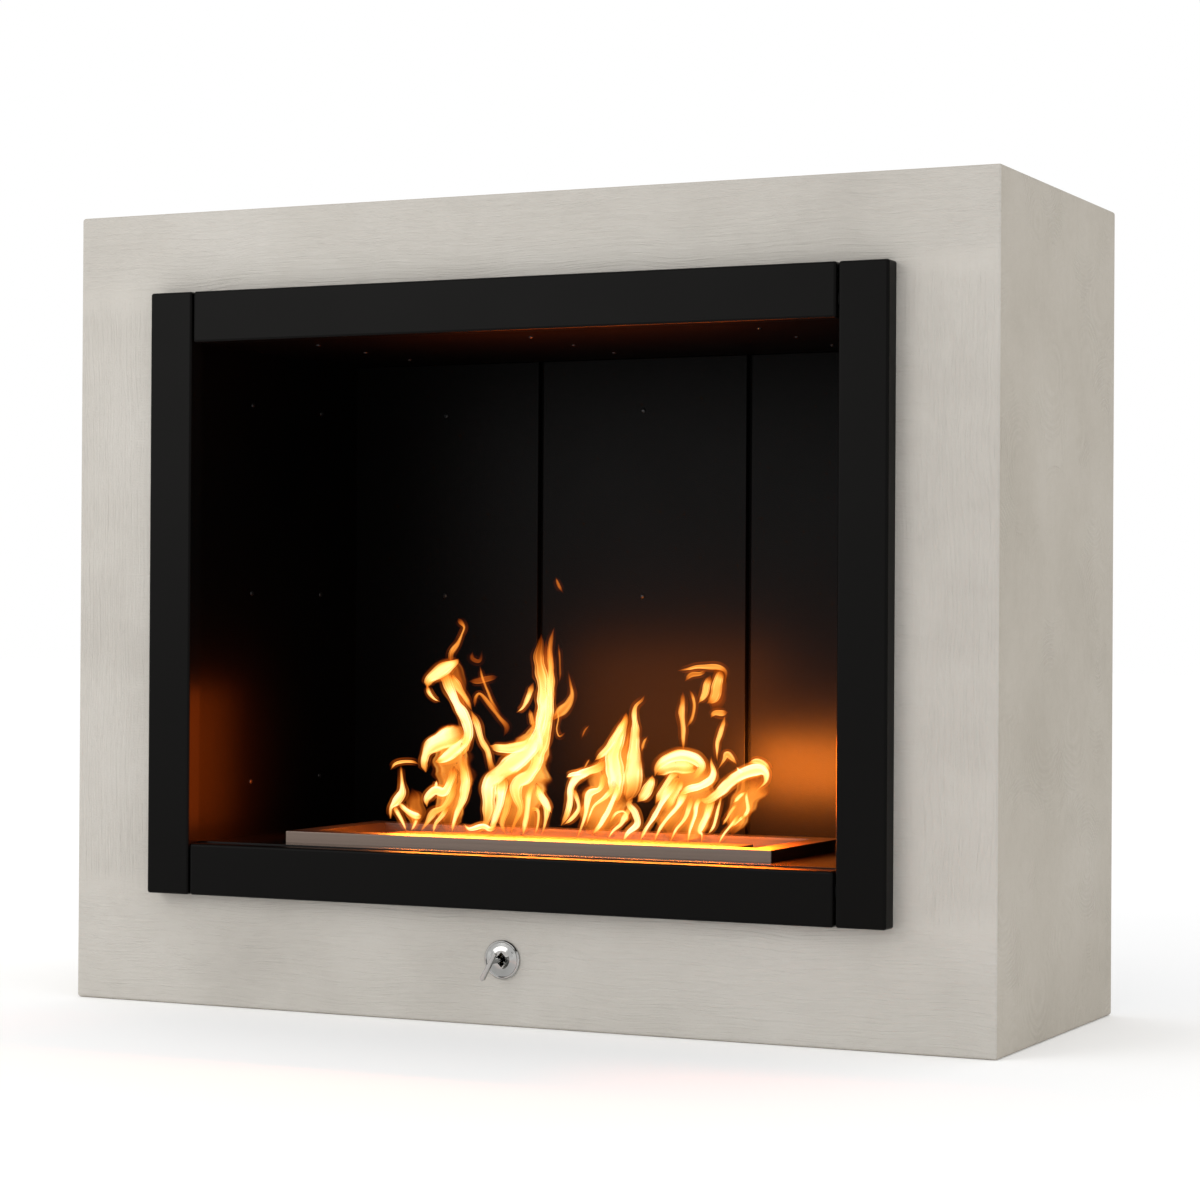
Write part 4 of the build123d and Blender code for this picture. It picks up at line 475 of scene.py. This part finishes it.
    (-10, 1.0, [(199, 334, 4.2), (214, 343, 7.9), (231, 348, 8.4), (247, 357, 7.9), (253, 369, 7),
        (250, 383, 3.3), (250, 393, 0.7)]),
    (-4, 1.0, [(226, 329, 3.7), (241, 327, 7.9), (261, 339, 9.8), (278, 354, 9.7), (295, 366, 10.7),
        (312, 373, 12), (326, 375, 10.2), (335, 369, 6), (334, 357, 3.2), (324, 347, 1.6),
        (315, 338, 0.7)]),
    (4, 0.75, [(302, 383, 2.8), (317, 387, 5.6), (332, 381, 5.1), (338, 369, 2.8)]),
    (-6, 1.0, [(290, 378, 0.9), (294, 372, 4.6), (301, 367, 6.9)]),
    (-2, 0.9, [(180, 261, 1.2), (191, 282, 3.3), (205, 298, 4.2), (212, 317, 5.6), (216, 333, 5.6)]),
    (-6, 0.95, [(210, 261, 0.9), (215, 283, 3.7), (223, 304, 4.2), (227, 322, 5.6), (235, 333, 5.6)]),
    (-4, 0.95, [(233, 263, 0.7), (234, 276, 2.3), (230, 282, 5.1), (238, 300, 7), (245, 318, 8.4),
        (251, 334, 8.4)]),
    (0, 0.85, [(241, 276, 1.2), (250, 288, 3.3), (256, 307, 3.3), (261, 323, 3.3), (264, 336, 3.3)]),
    (-4, 0.9, [(259, 261, 0.9), (269, 278, 2.8), (283, 294, 3.7), (295, 310, 4.2)]),
    (0, 0.95, [(296, 301, 4.2), (304, 315, 4.2), (302, 333, 4.2), (304, 344, 1.4)]),
    (0, 0.95, [(280, 324, 2.8), (290, 334, 4.6), (302, 342, 2.8)]),
    (6, 0.75, [(262, 291, 3.3), (269, 302, 2.8), (279, 316, 3.3), (286, 321, 2.8)]),
    (4, 0.85, [(277, 288, 2.3), (290, 299, 3.2), (299, 306, 3.2)]),
    (2, 0.62, [(199, 400, 2.8), (200, 416, 4), (200, 434, 4.9), (196, 457, 6.6), (198, 473, 5.6),
        (199, 488, 1.2)]),
    (6, 0.52, [(203, 434, 2.8), (211, 448, 3.3), (214, 466, 3.7), (211, 480, 3.3), (206, 490, 1.4)]),
    (0, 0.56, [(191, 518, 1.2), (209, 521, 2.8), (223, 524, 4.2), (241, 524, 6.5), (258, 523, 6.5),
        (268, 516, 4.2), (267, 498, 1.4)]),
    (4, 0.6, [(222, 469, 1.2), (232, 482, 6.5), (237, 498, 7.9), (244, 512, 7)]),
    (2, 0.62, [(237, 470, 3.3), (249, 479, 11.2), (252, 496, 11.2), (257, 510, 9.3), (262, 519, 4.7)]),
    (8, 0.42, [(200, 502, 1.9), (210, 512, 5.6), (225, 514, 4.7), (235, 519, 4.7)]),
    (2, 0.5, [(244, 449, 1.9), (250, 456, 6.5), (262, 456, 7.4), (272, 458, 1.9)]),
    (0, 0.7, [(266, 451, 3.7), (262, 431, 5.1), (256, 413, 5.1), (254, 395, 2.3), (255, 383, 0.7)]),
    (2, 0.6, [(253, 370, 0.7), (263, 386, 3.7), (268, 395, 6.5), (275, 391, 5.6), (282, 384, 2.8),
        (285, 380, 0.9)]),
    (14, 0.34, [(-262, 262, 8), (-258, 285, 18), (-262, 310, 20), (-268, 330, 8)]),
    (15, 0.46, [(-205, 262, 20), (-200, 300, 32), (-192, 340, 36), (-196, 380, 40), (-200, 410, 30),
        (-190, 430, 10)]),
    (16, 0.52, [(-85, 262, 40), (-80, 300, 52), (-78, 340, 54), (-66, 380, 44), (-44, 430, 22),
        (-35, 480, 18), (-35, 530, 13), (-36, 560, 5)]),
    (15, 0.48, [(60, 262, 50), (62, 300, 56), (70, 340, 50), (85, 380, 36), (98, 420, 20), (108, 455, 7)]),
    (15, 0.5, [(180, 262, 50), (195, 300, 56), (210, 340, 54), (222, 372, 40), (230, 390, 12)]),
    (14, 0.42, [(272, 275, 14), (286, 310, 26), (303, 345, 30), (318, 370, 18)]),
    (12, 0.3, [(-172, 420, 8), (-182, 470, 14), (-196, 505, 24), (-206, 520, 18), (-200, 535, 6)]),
    (12, 0.2, [(245, 450, 14), (250, 485, 18), (255, 515, 15), (258, 528, 5)]),
]
print(len(TONGUES), "tongues")

# %% [markdown]
# A tongue's few points are smoothed with a Catmull-Rom curve, which passes through all of them. The points hold
# the half width too, so the width is smoothed in the same way.

# %% Smooth curve
CURVE_STEPS = 8


def between(t, p, q, r, s):
    """Value a share t of the way from q to r, with p before and s after them."""
    bend = 2 * p - 5 * q + 4 * r - s
    twist = 3 * q - p - 3 * r + s
    return 0.5 * (2 * q + (r - p) * t + bend * t * t + twist * t**3)


def smooth(points, steps):
    """Catmull-Rom curve through points of any size, as tuples."""
    ends = [tuple(2 * a - b for a, b in zip(points[0], points[1]))]
    tail = [tuple(2 * a - b for a, b in zip(points[-1], points[-2]))]
    path = ends + list(points) + tail
    curve = []
    for a, b, c, d in zip(path, path[1:], path[2:], path[3:]):
        for i in range(steps):
            t = i / steps
            curve.append(tuple(between(t, *values) for values in zip(a, b, c, d)))
    return curve + [tuple(points[-1])]


print(len(smooth(TONGUES[0][2], CURVE_STEPS)), "steps along the first tongue")

# %% [markdown]
# At each step a ring is laid across the curve, wide in the plane of the burner and thin in depth. Noise makes
# its width lick and its rim waver. The ring's points carry the heat: low at the rim, a bright line just inside
# it and a steady glow between, broken by slow streaks, and fading towards both ends of the tongue.

# %% Flame ring
AROUND = 24
RIM = 0.30


def ring(number, swell, depth, warmth, here, along, share, taper):
    """Points of one ring in metres and their heat, around (across, height, half width) in millimetres."""
    x, z, half = here
    lick = 1 + 0.30 * noise.noise(Vector((x * 0.045, z * 0.055, number * 2.3)))
    half = max(0.86 * half * lick, 1.2) * (0.12 + 0.88 * taper) + swell * (0.15 + 0.85 * taper)
    drift = 7 * noise.noise(Vector((x * 0.02, z * 0.02, number * 1.7)))
    ends = min(1, 0.35 + 3.0 * share, 0.15 + 2.6 * (1 - share))
    vertices = []
    heats = []
    for j in range(AROUND):
        angle = 2 * math.pi * j / AROUND
        side = math.cos(angle)
        deep = math.sin(angle) * min(0.5 * half + 0.8, 12)
        wave = 1 + 0.22 * noise.noise(Vector((z * 0.07, side * 1.5, number + swell)))
        px = x + along.y * half * side * wave
        pz = z - along.x * half * side * wave
        vertices.append((px / 1000, BURNER_LINE + (depth + drift + deep) / 1000, pz / 1000))
        rim = 1 - abs(side)
        fray = 1 + 0.8 * noise.noise(Vector((side * 3.5, x * 0.03 + z * 0.06, number * 1.1)))
        profile = min(1, rim / RIM) * (0.84 + 0.26 * math.exp(-((rim - 0.26) / 0.12) ** 2))
        streak = noise.noise(Vector((side * 1.9 + number * 3.1, x * 0.012, z * 0.016)))
        level = warmth * min(1, fray * rim / RIM) * ends
        heats.append(max(0.0, min(1, level * (profile + 0.30 * streak))))
    return vertices, heats


print(AROUND, "points in a ring")

# %% [markdown]
# Rings joined side by side and closed at both ends make a tube. Each tongue has two, one in the other: a hot
# one, and a wider, cooler one that gives the soft orange edge. Both ride the fireplace's own body.

# %% Flame tubes
SHELLS = ((-0.6, 1.0), (4.5, 0.30))
END_RINGS = 4


def tube_faces(first, last):
    """Faces of a closed tube whose rings start at a vertex."""
    faces = []
    for i in range(last):
        for j in range(AROUND):
            a = first + i * AROUND + j
            b = first + i * AROUND + (j + 1) % AROUND
            faces.append((a, b, b + AROUND, a + AROUND))
    faces.append(tuple(reversed(range(first, first + AROUND))))
    faces.append(tuple(range(first + last * AROUND, first + (last + 1) * AROUND)))
    return faces


def tongue(number, depth, glow, points):
    """Flame of closed shells along points of (across, height, half width) in millimetres."""
    curve = smooth(points, CURVE_STEPS)
    last = len(curve) - 1
    vertices = []
    heats = []
    faces = []
    for swell, warmth in SHELLS:
        faces += tube_faces(len(vertices), last)
        for i, here in enumerate(curve):
            before = curve[max(i - 1, 0)]
            after = curve[min(i + 1, last)]
            along = Vector((after[0] - before[0], after[1] - before[1])).normalized()
            taper = min(1, i / END_RINGS, (last - i) / END_RINGS)
            placed, levels = ring(number, swell, depth, glow * warmth, here, along, i / last, taper)
            vertices += placed
            heats += levels
    mesh = bpy.data.meshes.new(f"flame_{number:02d}")
    mesh.from_pydata(vertices, [], faces)
    mesh.attributes.new("fire_heat", "FLOAT", "POINT").data.foreach_set("value", heats)
    mesh.materials.append(flame)
    mesh.polygons.foreach_set("use_smooth", [True] * len(mesh.polygons))
    mesh.update()
    piece = bpy.data.objects.new(f"flame_{number:02d}", mesh)
    bpy.context.collection.objects.link(piece)
    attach(piece, "fireplace")
    return piece


flames = [tongue(n, *row) for n, row in enumerate(TONGUES)]
print(len(flames), "flames up to", round(max(p[1] for row in TONGUES for p in row[2]) / 1000, 3), "m")

# %% [markdown]
# A real fire is far brighter than a picture can show, so the glow of the flames alone would leave the firebox
# dark. Soft orange lamps at the same places stand in for their strength: two face the back sheets, one each
# side, one the top rail and one the tray. The walls glow redder than the tray, and no lamp is seen directly.

# %% Firelight
def lamp(name, place, aim, size, power, colour, spread=180):
    """Soft rectangular lamp of a (width, height), at a place and aimed at a point."""
    data = bpy.data.lights.new(name, "AREA")
    data.shape = "RECTANGLE"
    data.size, data.size_y = size
    data.energy = power
    data.spread = math.radians(spread)
    data.color = colour
    made = bpy.data.objects.new(name, data)
    made.location = place
    made.rotation_euler = (Vector(aim) - Vector(place)).to_track_quat("-Z", "Y").to_euler()
    made.visible_camera = False
    bpy.context.collection.objects.link(made)
    return made


FIRE = (1.0, 0.22, 0.02)
EMBER = (1.0, 0.13, 0.006)
lamp("fire_back", (0.0, 0.04, 0.44), (0.0, 0.2, 0.44), (0.34, 0.22), 2.6, FIRE, 150)
lamp("fire_back_right", (0.26, 0.09, 0.36), (0.26, 0.2, 0.352), (0.20, 0.09), 8.0, FIRE, 160)
lamp("fire_left", (-0.42, -0.17, 0.37), (-0.53, -0.19, 0.37), (0.18, 0.22), 1.0, EMBER, 150)
lamp("fire_right", (0.32, -0.12, 0.36), (0.48, -0.18, 0.25), (0.14, 0.14), 3.8, EMBER, 130)
lamp("fire_up", (0.0, -0.09, 0.62), (0.0, -0.26, 1.0), (0.50, 0.10), 2.4, EMBER, 120)
lamp("fire_tray", (0.0, -0.09, 0.34), (0.0, -0.09, 0.2), (0.56, 0.10), 42.0, FIRE, 150)
print("firelight placed")

# %% [markdown]
# The studio is a white room: a pale floor that carries a soft shadow, a white background all round, and one
# wide lamp at the front left, which makes the front a little lighter than the side. The floor adds a faint
# glow of its own, so that it meets the background without a line at the horizon.

# %% Studio
FLOOR_REACH = 30
FLOOR_DROP = 0.0005

floor_mesh = bpy.data.meshes.new("studio_floor")
corners = [(-1, -1), (1, -1), (1, 1), (-1, 1)]
floor_points = [(x * FLOOR_REACH, y * FLOOR_REACH, -FLOOR_DROP) for x, y in corners]
floor_mesh.from_pydata(floor_points, [], [(0, 1, 2, 3)])
studio_floor = bpy.data.objects.new("studio_floor", floor_mesh)
bpy.context.collection.objects.link(studio_floor)
pale, tree, shader = graph("studio_floor")
shader.inputs["Base Color"].default_value = (0.93, 0.93, 0.93, 1)
shader.inputs["Roughness"].default_value = 0.9
shader.inputs["Specular IOR Level"].default_value = 0.0
shader.inputs["Emission Color"].default_value = (1, 1, 1, 1)
shader.inputs["Emission Strength"].default_value = 0.09
floor_mesh.materials.append(pale)

world = bpy.data.worlds.new("studio")
bpy.context.scene.world = world
world.use_nodes = True
background = world.node_tree.nodes["Background"]
background.inputs["Color"].default_value = (1, 1, 1, 1)
background.inputs["Strength"].default_value = 1.0
lamp("key", (-2.6, -4.6, 2.3), (0, 0, 0.5), (3.2, 3.2), 72, (1.0, 0.985, 0.96))
bpy.context.scene.view_settings.view_transform = "Standard"
print("studio ready")
